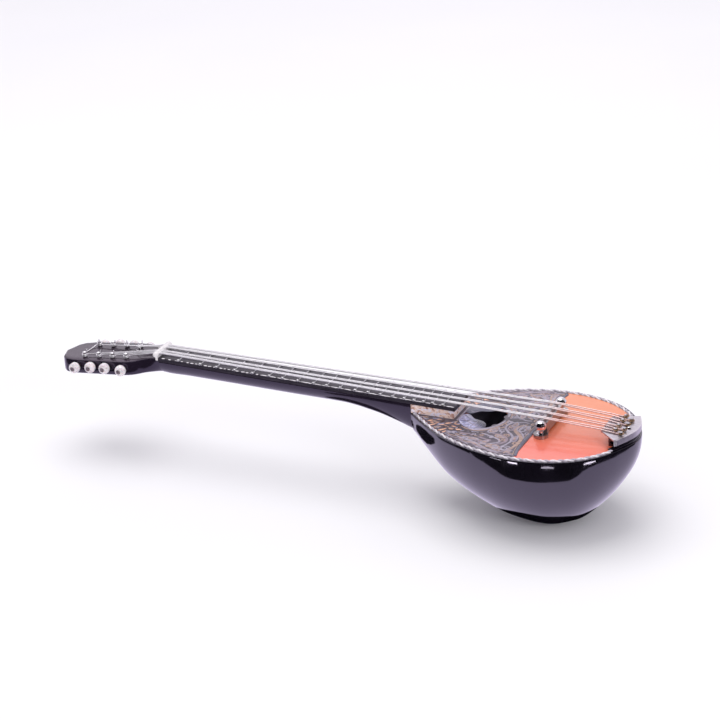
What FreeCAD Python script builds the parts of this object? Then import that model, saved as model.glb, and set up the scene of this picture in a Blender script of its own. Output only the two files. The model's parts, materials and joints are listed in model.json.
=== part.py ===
import FreeCAD, Part
import math, os
from FreeCAD import Vector

os.makedirs("parts", exist_ok=True)

# ---------------------------------------------------------------------------
# Display-size bowl-back mandolin with a long neck, millimetres.
# Row frame: origin at the centre of the small flat on the bowl's back, +Z up
# (normal to the soundboard), +X towards the tail, head at -X, treble side -Y.
# Stations along the instrument are measured from the neck/body joint (x = 0)
# and heights from the soundboard's top (z = 0); V() moves both to the frame.
# ---------------------------------------------------------------------------
FLAT_X = 54.0            # station of the resting flat's centre
BODY_H = 33.6            # soundboard top above the resting flat
BODY_LEN = 84.0          # neck joint to tail
BOWL_EXP = 2.3           # superellipse exponent of the bowl's cross-sections
LIP = 0.7                # black lip of the rim outside the purfling
PURF_W = 1.3             # width of the rope binding round the soundboard
PURF_D = 0.6             # depth of its channel in the soundboard's edge
PURF_PROUD = 0.6         # height of the rope binding above the soundboard
TOP_T = 1.2              # soundboard thickness
GUARD_T = 0.25           # pickguard sheet thickness
GUARD_END = 47.7         # station where the pickguard stops
HOLE_X, HOLE_A, HOLE_B = 26.3, 7.7, 10.3   # soundhole centre and half axes
FB_T = 1.5               # fretboard thickness
FB_Z0 = 5.42             # fretboard top above the soundboard at the joint
FB_SLOPE = -0.0232       # rise of the fretboard per mm of station
FB_END = 17.4            # fretboard's body end
NUT_X0, NUT_X1 = -105.4, -104.2
FB_HW_NUT, FB_HW_END = 4.9, 6.4
HEAD_TOP0, HEAD_SLOPE, HEAD_X0 = 7.3, 0.092, -106.0
HEAD_T = 6.0
HEAD_HW = 9.2
POST_X = [-117.7, -123.8, -129.9, -136.2]
POST_Y = 5.5
POST_R, POST_HOLE_R, POST_UP, POST_DOWN = 0.6, 0.64, 1.7, 4.0
WIRE_R = 0.2
KNOB_X = [-117.2, -124.3, -130.6, -137.6]
KNOB_DROP = [2.6, 2.0, 1.8, 2.2]           # below the head's top face
KNOB_R, KNOB_CY, KNOB_HT = 2.1, 11.45, 1.6   # radius, centre, half thickness
PIN_R, PIN_HOLE_R, PIN_TIP = 0.5, 0.54, 6.7
NUT_Y = [4.1, 3.3, 2.2, 1.4]
BRIDGE_Y = [6.9, 6.0, 2.6, 1.7]
HOOK_NEAR = [-8.0, -6.2, -4.4, -2.6]
HOOK_FAR = [5.4, 3.6, 1.6, -0.4]
HOOK_ROWS = (77.2, 79.8)
BRX, BR_X0, BR_X1, BR_H = 50.9, 49.3, 52.5, 4.6
BR_Y0, BR_Y1 = -7.15, 9.7    # ends of the bridge bar
SCREW_Y = (-9.1, 11.5)       # the two adjusting screws and their round feet
FOOT_R, FOOT_T = 2.6, 1.2
BALL_R, BALL_Z = 1.85, 4.0   # round head of each screw
SADDLE_X0, SADDLE_X1, SADDLE_HL, SADDLE_TOP = 50.3, 51.5, 7.3, 5.85
TP_FRONT = 72.5
TP_Y = (-7.9, 3.9)           # front edge of the tailpiece, a little to the treble side
TP_REAR_Y = (-13.1, 9.6)     # its rear edge
TP_SKIRT = (2.0, 4.1)        # foot and top of the turned-down rear skirt
NAIL_X, NAIL_Y = 80.6, -1.8
TP_T, TP_Z_FRONT, TP_SLOPE = 0.45, 4.9, -0.10
FRET_X = [-95.5, -86.1, -79.2, -71.5, -64.0, -57.0, -51.5, -45.2, -38.8, -33.5,
          -28.0, -22.0, -16.8, -11.8, -7.0, -2.5, 1.4, 5.1, 8.6, 12.7]

# half width and depth of the body at each station (virtual nose in front of
# the joint, cut off later); squares are interpolated so that the ends round off
HALF_W = [(-8.0, 0), (0, 6.0), (3, 8.7), (5.9, 11.3), (12, 16.5), (17.2, 20.2),
          (22.4, 23.1), (27.1, 25.3), (31.4, 26.9), (35.7, 28.1), (39.9, 29.1),
          (43.8, 29.7), (47.6, 29.9), (51.1, 29.8), (54.7, 29.4), (58.1, 28.7),
          (61.3, 27.8), (64.4, 26.6), (67.5, 25.1), (70.3, 23.3), (72.9, 21.2),
          (75.3, 18.8), (77.5, 15.9), (79.5, 12.8), (81.3, 9.3), (82.8, 5.9), (84.0, 0)]
DEPTH = [(-8.0, 0), (0, 9.1), (8, 15.3), (18, 22.8), (30, 28.4), (42, 32.5),
         (54, 34.1), (64, 31.4), (72, 24.7), (78, 17.2), (84.0, 0)]
IN_HALF = [(8.5, 0), (12, 9.5), (17.2, 15.6), (22.4, 19.0), (27.1, 21.5), (31.4, 23.2),
           (35.7, 24.5), (39.9, 25.5), (43.8, 26.1), (47.6, 26.3), (51.1, 26.2),
           (54.7, 25.8), (58.1, 25.1), (61.3, 24.1), (64.4, 22.8), (67.5, 21.1),
           (70.3, 19.0), (72.9, 16.5), (75.3, 13.2), (77.5, 9.2), (79.6, 0)]
IN_DEPTH = [(8.5, 0), (12, 12.0), (18, 18.4), (30, 24.6), (42, 28.7), (54, 30.2),
            (64, 27.5), (72, 20.4), (76.5, 13.0), (79.6, 0)]


def monotone(table, square):
    xs = [p[0] for p in table]
    ys = [p[1] ** 2 if square else p[1] for p in table]
    n = len(xs)
    d = [(ys[i + 1] - ys[i]) / (xs[i + 1] - xs[i]) for i in range(n - 1)]
    m = [d[0]] + [0 if d[i - 1] * d[i] <= 0 else
                  2 * d[i - 1] * d[i] / (d[i - 1] + d[i]) for i in range(1, n - 1)] + [d[-1]]

    def f(x):
        x = min(max(x, xs[0]), xs[-1])
        i = 0
        while i < n - 2 and x > xs[i + 1]:
            i += 1
        h = xs[i + 1] - xs[i]
        t = (x - xs[i]) / h
        v = ((2 * t ** 3 - 3 * t ** 2 + 1) * ys[i] + (t ** 3 - 2 * t ** 2 + t) * h * m[i]
             + (-2 * t ** 3 + 3 * t ** 2) * ys[i + 1] + (t ** 3 - t ** 2) * h * m[i + 1])
        return math.sqrt(max(v, 0)) if square else v
    return f


w_out, d_out = monotone(HALF_W, True), monotone(DEPTH, True)
w_in, d_in = monotone(IN_HALF, True), monotone(IN_DEPTH, True)


def V(x, y, z):
    return Vector(x - FLAT_X, y, z + BODY_H)


def contour(w, d, z, xmin, xmax, n=28):
    """Closed horizontal section of the body at depth z below the soundboard."""
    a, b = xmin, xmax
    if z > 0:
        peak = max((d(xmin + (xmax - xmin) * i / 400.0), xmin + (xmax - xmin) * i / 400.0)
                   for i in range(401))[1]
        lo, hi = xmin, peak
        for _ in range(60):
            mid = (lo + hi) / 2
            if d(mid) < z:
                lo = mid
            else:
                hi = mid
        a = hi
        lo, hi = peak, xmax
        for _ in range(60):
            mid = (lo + hi) / 2
            if d(mid) >= z:
                lo = mid
            else:
                hi = mid
        b = lo

    def y(x):
        if z <= 0:
            return w(x)
        r = max(0.0, 1 - (z / max(d(x), 1e-6)) ** BOWL_EXP)
        return w(x) * r ** (1 / BOWL_EXP)
    xm, xh = (a + b) / 2, (b - a) / 2
    up = [(xm - xh * math.cos(math.pi * i / n), i) for i in range(n + 1)]
    pts = [(x, 0.0 if i in (0, n) else y(x)) for x, i in up]
    low = [(x, -yy) for x, yy in reversed(pts[1:-1])]
    return pts + low


def closed_wire(pts, z):
    c = Part.BSplineCurve()
    c.interpolate(Points=[V(x, y, z) for x, y in pts], PeriodicFlag=True)
    return Part.Wire([c.toShape()])


def box(x0, x1, y0, y1, z0, z1):
    p = V(x0, y0, z0)
    return Part.makeBox(x1 - x0, y1 - y0, z1 - z0, p)


def cyl(p, q, r):
    d = q - p
    return Part.makeCylinder(r, d.Length, p, d)


def offset_outline(off, n=110):
    """Body outline at the soundboard, moved inwards by off."""
    pts = contour(w_out, d_out, 0.0, -8.0, BODY_LEN, n)
    m = len(pts)
    out = []
    for i in range(m):
        x0, y0 = pts[(i - 1) % m]
        x1, y1 = pts[(i + 1) % m]
        tx, ty = x1 - x0, y1 - y0
        L = math.hypot(tx, ty)
        # the loop runs from the nose over +Y to the tail, so the inside is on the right
        out.append((pts[i][0] + ty / L * off, pts[i][1] - tx / L * off))
    return out


def plate(off, z0, z1, front=0.0):
    f = Part.Face(closed_wire(offset_outline(off), z0))
    s = f.extrude(Vector(0, 0, z1 - z0))
    return s.common(box(front, 100, -60, 60, z0 - 5, z1 + 5))


def fb_top(x):
    return FB_Z0 + FB_SLOPE * x


def head_top(x):
    return HEAD_TOP0 + HEAD_SLOPE * (x - HEAD_X0)


parts = {}

# --------------------------------------------------------------------- bowl
levels = [0.0, 2.0, 5.0, 9.5, 14.5, 19.5, 24.0, 27.8, 30.6, 32.5, BODY_H]
outer = Part.makeLoft([closed_wire(contour(w_out, d_out, z, -8.0, BODY_LEN), -z)
                       for z in levels], True, False)
in_levels = [0.0, 2.5, 6.0, 10.5, 15.0, 19.5, 23.5, 26.5, 28.6, 29.6]
inner = Part.makeLoft([closed_wire(contour(w_in, d_in, z, 8.5, 79.6), -z)
                       for z in in_levels], True, False)
bowl = outer.common(box(0, 100, -60, 60, -60, 5))
bowl = bowl.cut(inner)
bowl = bowl.cut(plate(LIP, -TOP_T, 3.0, -20))
dowel = cyl(V(-8, 0, -3.6), V(7, 0, -3.6), 1.8)
bowl = bowl.cut(dowel)
bowl = bowl.cut(cyl(V(NAIL_X, NAIL_Y, -6.0), V(NAIL_X, NAIL_Y, 4.3), 0.45))

# --------------------------------------------------------------- soundboard
board = plate(LIP, -TOP_T, -PURF_D).fuse(plate(LIP + PURF_W, -PURF_D, 0.0)).removeSplitter()
hole_pts = [(HOLE_X + HOLE_A * math.cos(t), HOLE_B * math.sin(t))
            for t in [2 * math.pi * i / 40 for i in range(40)]]
hole = Part.Face(closed_wire(hole_pts, -3)).extrude(Vector(0, 0, 6))
board = board.cut(hole)
for sy in SCREW_Y:
    board = board.cut(cyl(V(BRX, sy, -TOP_T - 1), V(BRX, sy, 1), 0.5))
nail = cyl(V(NAIL_X, NAIL_Y, -6.0), V(NAIL_X, NAIL_Y, 4.3), 0.45)
board = board.cut(nail)
parts["soundboard"] = board

purf = plate(LIP, -PURF_D, PURF_PROUD).cut(plate(LIP + PURF_W, -PURF_D - 1, PURF_PROUD + 1, -20))
parts["purfling"] = purf

braces = None
for bx in (38.5, 58.0):
    hl = min(w_in(bx - 1.0), w_in(bx + 1.0)) - 1.2
    b = box(bx - 1.0, bx + 1.0, -hl, hl, -TOP_T - 2.2, -TOP_T)
    braces = b if braces is None else Part.makeCompound([braces, b])
parts["soundboard_braces"] = braces

# ---------------------------------------------------------------- pickguard
guard = plate(LIP + PURF_W + 0.1, 0.0, GUARD_T).common(
    box(0.0, GUARD_END, -60, 60, -1, 1))
guard_hole = Part.Face(closed_wire(hole_pts, -1)).extrude(Vector(0, 0, 3))
lobes = None
for k in range(8):
    a = math.radians(-36 + 45 * k)
    cx, cy = HOLE_X + HOLE_A * 1.08 * math.cos(a), HOLE_B * 1.08 * math.sin(a)
    c = Part.makeCylinder(1.55, 3, V(cx, cy, -1))
    lobes = c if lobes is None else lobes.fuse(c)
for sy in (-1, 1):
    lobes = lobes.fuse(Part.makeCylinder(4.3, 3, V(20.6, 7.0 * sy, -1)))
guard = guard.cut(guard_hole.cut(lobes))
parts["pickguard"] = guard

# ------------------------------------------------------------- neck and head
def neck_section(x, hw, top, depth, n=18):
    pts = []
    for i in range(n + 1):
        a = math.pi * i / n
        c, s = math.cos(a), math.sin(a)
        y = hw * math.copysign(abs(c) ** (2 / BOWL_EXP), c)
        z = top - depth * s ** (2 / BOWL_EXP)
        pts.append(V(x, y, z))
    c = Part.BSplineCurve()
    c.interpolate(Points=pts)
    return Part.Wire([c.toShape(), Part.makeLine(pts[-1], pts[0])])


def fb_hw(x):
    return FB_HW_NUT + (FB_HW_END - FB_HW_NUT) * (x - NUT_X1) / (FB_END - NUT_X1)


NECK = [(-110.0, 5.9), (-104.0, 5.85), (-98.0, 5.6), (-92.0, 5.45), (-70.0, 5.5), (-50.0, 5.6), (-36.0, 5.55),
        (-29.0, 5.6), (-23.5, 6.1), (-18.5, 7.0), (-14.0, 7.95), (-10.0, 9.1),
        (-6.0, 10.4), (-3.0, 11.5), (0.0, 12.55)]
neck = Part.makeLoft([neck_section(x, fb_hw(x) - 0.12, fb_top(x) - FB_T, dep + 2.0 - FB_T)
                      for x, dep in NECK], True, False)
# head plate: blunt pointed end, shoulders running into the neck
HEAD_OUT = [(-104.2, 4.75), (-107.5, 5.0), (-110.3, 6.1), (-112.6, 7.9), (-115.2, 9.1), (-118.5, 9.45),
            (-128.0, 9.3), (-139.3, 9.0), (-143.6, 7.9), (-145.6, 6.0), (-147.6, 0.0)]
up = [Vector(x - FLAT_X, y, 0) for x, y in HEAD_OUT]
dn = [Vector(p.x, -p.y, 0) for p in reversed(up[:-1])]
shoulder = Part.BSplineCurve()
shoulder.interpolate(Points=up[:7], InitialTangent=Vector(-1, 0, 0), FinalTangent=Vector(-1, -0.015, 0))
e = [shoulder.toShape()]
for a, b in zip(up[6:-1], up[7:]):
    e.append(Part.makeLine(a, b))
sh2 = Part.BSplineCurve()
sh2.interpolate(Points=[Vector(p.x, -p.y, 0) for p in up[:7]],
                InitialTangent=Vector(-1, 0, 0), FinalTangent=Vector(-1, 0.015, 0))
for a, b in zip(up[6:-1], up[7:]):
    e.append(Part.makeLine(Vector(a.x, -a.y, 0), Vector(b.x, -b.y, 0)))
e.append(sh2.toShape())
e.append(Part.makeLine(up[0], Vector(up[0].x, -up[0].y, 0)))
head_face = Part.Face(Part.Wire(Part.__sortEdges__(e)))
head = head_face.extrude(Vector(0, 0, 60))
nx = Vector(1, 0, HEAD_SLOPE).normalize()
nz = Vector(-HEAD_SLOPE, 0, 1).normalize()
prof = [V(HEAD_X0 + 1.8, -30, head_top(HEAD_X0 + 1.8) - 0.1), V(-150, -30, head_top(-150)),
        V(-150, -30, head_top(-150) - HEAD_T), V(-113.0, -30, head_top(-113.0) - HEAD_T),
        V(HEAD_X0 + 1.8, -30, head_top(HEAD_X0 + 1.8) - HEAD_T + 0.35)]
slab = Part.Face(Part.makePolygon(prof + [prof[0]])).extrude(Vector(0, 60, 0))
head = head.common(slab)
neck = neck.fuse(head).removeSplitter()
neck = neck.cut(dowel)
for sy in (-1, 1):
    for px in POST_X:
        b = V(px, sy * POST_Y, head_top(px))
        neck = neck.cut(cyl(b - nz * (POST_DOWN + 0.2), b + nz * 1.0, POST_HOLE_R))
    for kx, drop in zip(KNOB_X, KNOB_DROP):
        z = head_top(kx) - drop
        neck = neck.cut(cyl(V(kx, sy * (PIN_TIP - 0.1), z), V(kx, sy * 14, z), PIN_HOLE_R))
parts["neck"] = neck
parts["neck_dowel"] = dowel
parts["bowl"] = bowl

# ---------------------------------------------------- fretboard, frets, nut
def loft_quad(x0, hw0, zt0, zb0, x1, hw1, zt1, zb1):
    def w(x, hw, zt, zb):
        return Part.makePolygon([V(x, -hw, zb), V(x, hw, zb), V(x, hw, zt), V(x, -hw, zt), V(x, -hw, zb)])
    return Part.makeLoft([w(x0, hw0, zt0, zb0), w(x1, hw1, zt1, zb1)], True, True)


fb = loft_quad(NUT_X1, FB_HW_NUT, fb_top(NUT_X1), fb_top(NUT_X1) - FB_T,
               FB_END, FB_HW_END, fb_top(FB_END), fb_top(FB_END) - FB_T)
fret_list = []
for fx in FRET_X:
    hw = fb_hw(fx)
    zt = fb_top(fx)
    slot = box(fx - 0.18, fx + 0.18, -hw - 1, hw + 1, zt - 0.6, zt + 1)
    fb = fb.cut(slot)
    # crowned fret wire filling its slot and standing 0.4 mm proud
    arc = Part.Arc(V(fx + 0.36, -hw - 0.1, zt), V(fx, -hw - 0.1, zt + 0.42), V(fx - 0.36, -hw - 0.1, zt)).toShape()
    w = Part.Wire([arc, Part.makeLine(V(fx - 0.36, -hw - 0.1, zt), V(fx - 0.18, -hw - 0.1, zt)),
                   Part.makeLine(V(fx - 0.18, -hw - 0.1, zt), V(fx - 0.18, -hw - 0.1, zt - 0.6)),
                   Part.makeLine(V(fx - 0.18, -hw - 0.1, zt - 0.6), V(fx + 0.18, -hw - 0.1, zt - 0.6)),
                   Part.makeLine(V(fx + 0.18, -hw - 0.1, zt - 0.6), V(fx + 0.18, -hw - 0.1, zt)),
                   Part.makeLine(V(fx + 0.18, -hw - 0.1, zt), V(fx + 0.36, -hw - 0.1, zt))])
    fr = Part.Face(w).extrude(Vector(0, 2 * hw + 0.2, 0))
    fret_list.append(fr.cut(fb))
parts["fretboard"] = fb
parts["frets"] = Part.makeCompound(fret_list)

riser = loft_quad(0.0, 5.6, fb_top(0) - FB_T, GUARD_T,
                  FB_END - 0.8, 5.9, fb_top(FB_END - 0.8) - FB_T, GUARD_T).cut(purf)
riser = sorted(riser.Solids, key=lambda s: -s.Volume)[0]
parts["fretboard_riser"] = riser

nut_top = fb_top(NUT_X0) + 1.62
nut = box(NUT_X0, NUT_X1, -5.0, 5.0, head_top(NUT_X0) - 0.6, nut_top)
nut = nut.makeFillet(0.8, [ed for ed in nut.Edges if ed.BoundBox.XLength > 1.1 and ed.BoundBox.ZMin > nut_top + BODY_H - 0.01])
nut = nut.cut(neck).cut(fb)
nut = sorted(nut.Solids, key=lambda s: -s.Volume)[0]

# --------------------------------------------------------------- tailpiece
def tp_top(x):
    return TP_Z_FRONT + TP_SLOPE * (x - TP_FRONT)


rear_pts = [p for p in offset_outline(LIP - 0.1) if p[0] > 70 and TP_REAR_Y[0] <= p[1] <= TP_REAR_Y[1]]
rear_pts.sort(key=lambda p: p[1])


def strip(off_in, off_out, y0, y1, z0, z1):
    """Curved wall standing along the tail's outline."""
    a = sorted([p for p in offset_outline(off_in) if p[0] > 60 and y0 <= p[1] <= y1], key=lambda p: p[1])
    b = sorted([p for p in offset_outline(off_out) if p[0] > 60 and y0 <= p[1] <= y1], key=lambda p: p[1])
    ca, cb = Part.BSplineCurve(), Part.BSplineCurve()
    ca.interpolate(Points=[V(x, y, z0) for x, y in a])
    cb.interpolate(Points=[V(x, y, z0) for x, y in b])
    w = Part.Wire(Part.__sortEdges__([
        ca.toShape(), Part.makeLine(V(a[-1][0], a[-1][1], z0), V(b[-1][0], b[-1][1], z0)),
        cb.toShape(), Part.makeLine(V(b[0][0], b[0][1], z0), V(a[0][0], a[0][1], z0))]))
    return Part.Face(w).extrude(Vector(0, 0, z1 - z0))


def prism(rear, x0, ya, yb, height):
    """Upright prism with a straight front at x0 and a curved rear."""
    cr = Part.BSplineCurve()
    cr.interpolate(Points=[V(x, y, 0) for x, y in rear])
    pw = Part.Wire(Part.__sortEdges__([
        cr.toShape(),
        Part.makeLine(V(rear[-1][0], rear[-1][1], 0), V(x0, yb, 0)),
        Part.makeLine(V(x0, yb, 0), V(x0, ya, 0)),
        Part.makeLine(V(x0, ya, 0), V(rear[0][0], rear[0][1], 0))]))
    return Part.Face(pw).extrude(Vector(0, 0, height))


tp_prof = [V(70, -20, tp_top(70)), V(90, -20, tp_top(90)), V(90, -20, tp_top(90) - TP_T), V(70, -20, tp_top(70) - TP_T)]
tp_slab = Part.Face(Part.makePolygon(tp_prof + [tp_prof[0]])).extrude(Vector(0, 40, 0))
tail = prism(rear_pts, TP_FRONT, TP_Y[0], TP_Y[1], 12).common(tp_slab)
# front edge turned down into a small stiffening lip, rear edge into a skirt
tail = tail.fuse(box(TP_FRONT, TP_FRONT + TP_T, TP_Y[0] + 0.3, TP_Y[1] - 0.3, tp_top(TP_FRONT) - 1.0, tp_top(TP_FRONT) - 0.1))
tail = tail.fuse(strip(LIP - 0.1, 0.12, TP_REAR_Y[0], TP_REAR_Y[1], TP_SKIRT[0], TP_SKIRT[1])).removeSplitter()
tail = tail.cut(nail)
# black block that carries the tailpiece on the soundboard's tail edge
block_rear = sorted([p for p in offset_outline(LIP + PURF_W + 0.3) if p[0] > 70 and -9.0 <= p[1] <= 5.4], key=lambda p: p[1])
under = [V(70, -20, 0), V(90, -20, 0), V(90, -20, tp_top(90) - TP_T), V(70, -20, tp_top(70) - TP_T)]
block = prism(block_rear, 75.6, -9.0, 5.4, 12).common(
    Part.Face(Part.makePolygon(under + [under[0]])).extrude(Vector(0, 40, 0)))
parts["tailpiece_block"] = block.cut(nail)
hooks, loops = [], []
for sy, row in ((-1, HOOK_NEAR), (1, HOOK_FAR)):
    for i, hy in enumerate(row):
        hx = HOOK_ROWS[(i + (sy < 0)) % 2]
        zt = tp_top(hx)
        post = cyl(V(hx, hy, zt - 0.1), V(hx, hy, zt + 1.0), 0.38)
        cap = Part.makeCylinder(0.62, 0.3, V(hx, hy, zt + 1.0))
        hooks.append(post.fuse(cap).removeSplitter().cut(tail))
        loops.append(Part.makeTorus(0.66, 0.22, V(hx, hy, zt + 0.32)))
parts["tailpiece"] = tail
parts["string_hooks"] = Part.makeCompound(hooks)
parts["string_loops"] = Part.makeCompound(loops)
nail_top = tp_top(NAIL_X)
shank = nail.common(box(70, 90, -20, 20, -6.0, nail_top - 0.02))
head_ball = Part.makeSphere(0.85, V(NAIL_X, NAIL_Y, nail_top - 0.1)).common(box(70, 90, -20, 20, nail_top - 0.02, nail_top + 2))
parts["tailpiece_nail"] = shank.fuse(head_ball).removeSplitter().cut(tail)

# ------------------------------------------------------------------- bridge
base = box(BR_X0, BR_X1, BR_Y0, BR_Y1, 0.0, BR_H)
base = base.cut(box(BR_X0 - 1, BR_X1 + 1, BR_Y0 + 2.0, BR_Y1 - 2.0, -0.5, 0.8))
for sy in SCREW_Y:
    base = base.fuse(Part.makeCylinder(FOOT_R, FOOT_T, V(BRX, sy, 0)))
sad = box(SADDLE_X0, SADDLE_X1, -SADDLE_HL, SADDLE_HL, BR_H - 0.6, SADDLE_TOP)
sad = sad.makeFillet(0.35, [ed for ed in sad.Edges if abs(ed.Vertexes[0].Point.z - (SADDLE_TOP + BODY_H)) < 1e-6
                            and abs(ed.Vertexes[1].Point.z - (SADDLE_TOP + BODY_H)) < 1e-6
                            and abs(ed.Vertexes[0].Point.y - ed.Vertexes[1].Point.y) > 1])
screws = []
for sy in SCREW_Y:
    s = cyl(V(BRX, sy, -TOP_T), V(BRX, sy, BALL_Z), 0.5)
    s = s.fuse(Part.makeSphere(BALL_R, V(BRX, sy, BALL_Z)))
    s = s.fuse(Part.makeCylinder(1.0, 1.4, V(BRX, sy, FOOT_T)))
    screws.append(s.removeSplitter())
base = base.removeSplitter().cut(Part.makeCompound(screws))
sad = sad.cut(Part.makeCompound(screws))
base = base.cut(box(SADDLE_X0, SADDLE_X1, -SADDLE_HL, SADDLE_HL, BR_H - 0.6, SADDLE_TOP))
parts["bridge_screws"] = Part.makeCompound(screws)

# ------------------------------------------------------------------ strings
def tube(points, r):
    s = None
    for a, b in zip(points, points[1:]):
        c = cyl(a, b, r)
        s = c if s is None else s.fuse(c)
    for p in points[1:-1]:
        s = s.fuse(Part.makeSphere(r, p))
    return s.removeSplitter()


names = []
number = 0
for sy in (-1, 1):
    order = range(4) if sy < 0 else range(3, -1, -1)
    for i in order:
        number += 1
        k = i                                   # outermost string goes to the nearest post
        hx = HOOK_ROWS[(i + (sy < 0)) % 2]
        yb, yn, yh = sy * BRIDGE_Y[i], sy * NUT_Y[i], (HOOK_NEAR if sy < 0 else HOOK_FAR)[i]
        xf = TP_FRONT + 0.1
        t = (xf - BRX) / (hx - BRX)
        yf = yb + (yh - yb) * t
        px = POST_X[k]
        sadz = SADDLE_TOP + WIRE_R
        nutz = nut_top + WIRE_R
        end = V(px, sy * POST_Y, head_top(px)) + nz * 0.75 + Vector(0, -sy * (POST_R + WIRE_R), 0) + nx * 0.95
        pts = [V(hx - 0.95, yh, tp_top(hx) + 0.32), V(xf, yf, tp_top(xf) + 0.27),
               V(BRX, yb, sadz), V((NUT_X0 + NUT_X1) / 2, yn, nutz), end]
        parts["string_%d" % number] = tube(pts, WIRE_R)
        nut = nut.cut(tube(pts[2:5], WIRE_R + 0.005))
        sad = sad.cut(tube(pts[1:4], WIRE_R + 0.005))

        # post with its wire winding, and the knob with its pin
        tag = "%s_%d" % ("near" if sy < 0 else "far", k + 1)
        b = V(px, sy * POST_Y, head_top(px))
        post = cyl(b - nz * POST_DOWN, b + nz * POST_UP, POST_R)
        crown = Part.makeCone(POST_R, POST_R * 0.55, 0.25, b + nz * POST_UP, nz)
        post = post.fuse(crown).removeSplitter()
        hole_x = cyl(b + nz * 1.47 + Vector(-2, 0, 0), b + nz * 1.47 + Vector(2, 0, 0), 0.2)
        post = post.cut(hole_x)
        parts["post_" + tag] = post
        # winding: three turns side by side, revolved about the post
        z0 = 0.1
        e = [Part.makeLine(Vector(POST_R, 0, z0), Vector(POST_R + WIRE_R, 0, z0))]
        for j in range(3):
            zc = z0 + WIRE_R * (2 * j + 1)
            e.append(Part.Arc(Vector(POST_R + WIRE_R, 0, zc - WIRE_R), Vector(POST_R + 2 * WIRE_R, 0, zc),
                              Vector(POST_R + WIRE_R, 0, zc + WIRE_R)).toShape())
        zt = z0 + 6 * WIRE_R
        e.append(Part.makeLine(Vector(POST_R + WIRE_R, 0, zt), Vector(POST_R, 0, zt)))
        e.append(Part.makeLine(Vector(POST_R, 0, zt), Vector(POST_R, 0, z0)))
        wind = Part.Face(Part.Wire(e)).revolve(Vector(0, 0, 0), Vector(0, 0, 1), 360)
        wind.Placement = FreeCAD.Placement(b, FreeCAD.Rotation(Vector(0, 0, 1), nz))
        parts["winding_" + tag] = wind
        kx, kz = KNOB_X[k], head_top(KNOB_X[k]) - KNOB_DROP[k]
        pin = cyl(V(kx, sy * PIN_TIP, kz), V(kx, sy * (KNOB_CY + KNOB_HT), kz), PIN_R)
        pin = pin.fuse(Part.makeCylinder(0.85, 0.3, V(kx, sy * (KNOB_CY + KNOB_HT - 0.1), kz), Vector(0, sy, 0)))
        bead = Part.makeCylinder(KNOB_R, 2 * KNOB_HT, V(kx, sy * (KNOB_CY - KNOB_HT), kz), Vector(0, sy, 0))
        bead = bead.makeFillet(1.25, [ed for ed in bead.Edges if isinstance(ed.Curve, Part.Circle)])
        pin = pin.removeSplitter()
        bead = bead.cut(pin)
        parts["knob_pin_" + tag] = pin
        parts["knob_" + tag] = bead
parts["nut"] = nut
parts["bridge_saddle"] = sad
parts["bridge_base"] = base

total = 0
for name in sorted(parts):
    s = parts[name]
    ok = s.isValid() and len(s.Solids) >= 1
    total += s.Volume
    s.exportStep("parts/%s.step" % name)
    bb = s.BoundBox
    print("%-20s solids %2d valid %s vol %9.2f  x %.1f..%.1f y %.1f..%.1f z %.1f..%.1f" % (
        name, len(s.Solids), ok, s.Volume, bb.XMin, bb.XMax, bb.YMin, bb.YMax, bb.ZMin, bb.ZMax))
print("nodes", len(parts), "volume", round(total))
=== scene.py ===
import bpy, bmesh, json, math, random
from mathutils import Vector, Matrix
import numpy as np


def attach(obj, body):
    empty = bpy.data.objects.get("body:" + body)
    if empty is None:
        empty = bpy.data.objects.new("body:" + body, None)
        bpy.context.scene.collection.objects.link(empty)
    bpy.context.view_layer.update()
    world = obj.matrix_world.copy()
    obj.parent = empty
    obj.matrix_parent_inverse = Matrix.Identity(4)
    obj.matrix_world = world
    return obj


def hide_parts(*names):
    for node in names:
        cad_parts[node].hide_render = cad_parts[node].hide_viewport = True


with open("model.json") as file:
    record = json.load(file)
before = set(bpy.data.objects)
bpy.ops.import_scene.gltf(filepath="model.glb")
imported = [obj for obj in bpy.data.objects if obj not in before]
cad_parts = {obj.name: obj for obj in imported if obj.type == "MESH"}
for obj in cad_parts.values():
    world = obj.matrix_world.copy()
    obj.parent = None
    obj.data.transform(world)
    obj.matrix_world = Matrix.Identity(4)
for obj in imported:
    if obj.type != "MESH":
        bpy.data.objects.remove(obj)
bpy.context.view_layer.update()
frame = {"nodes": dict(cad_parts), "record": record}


NODES = frame["nodes"]
BODY = "instrument_body"
MM = 0.001
FLAT_X, BODY_H, BODY_LEN = 54.0, 33.6, 84.0
scene = bpy.context.scene
scene.view_settings.view_transform = "Standard"
scene.view_settings.look = "None"
scene.view_settings.exposure = 0.0
random.seed(7)


def P(x, y, z):
    """Station x from the neck joint, y across, z above the soundboard (mm) -> frame metres."""
    return Vector(((x - FLAT_X) * MM, y * MM, (z + BODY_H) * MM))


# ------------------------------------------------------------------ camera
def make_camera():
    e, phi, rho = math.radians(23.43), math.radians(26.11), math.radians(-3.5)
    back = Vector((math.sin(phi) * math.cos(e), -math.cos(phi) * math.cos(e), math.sin(e)))
    right = Vector((0, 0, 1)).cross(back).normalized()
    up = back.cross(right)
    r = math.cos(rho) * right + math.sin(rho) * up
    u = -math.sin(rho) * right + math.cos(rho) * up
    target = P(-37.84, 32.64, 0.0)
    pos = target + back * 0.8370
    cam = bpy.data.cameras.new("camera")
    cam.sensor_width = 36.0
    cam.lens = 110.0
    cam.clip_start, cam.clip_end = 0.05, 20.0
    ob = bpy.data.objects.new("camera", cam)
    m = Matrix((r, u, back)).transposed().to_4x4()
    m.translation = pos
    ob.matrix_world = m
    scene.collection.objects.link(ob)
    scene.camera = ob
    return pos, back


CAM_POS, CAM_BACK = make_camera()


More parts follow.
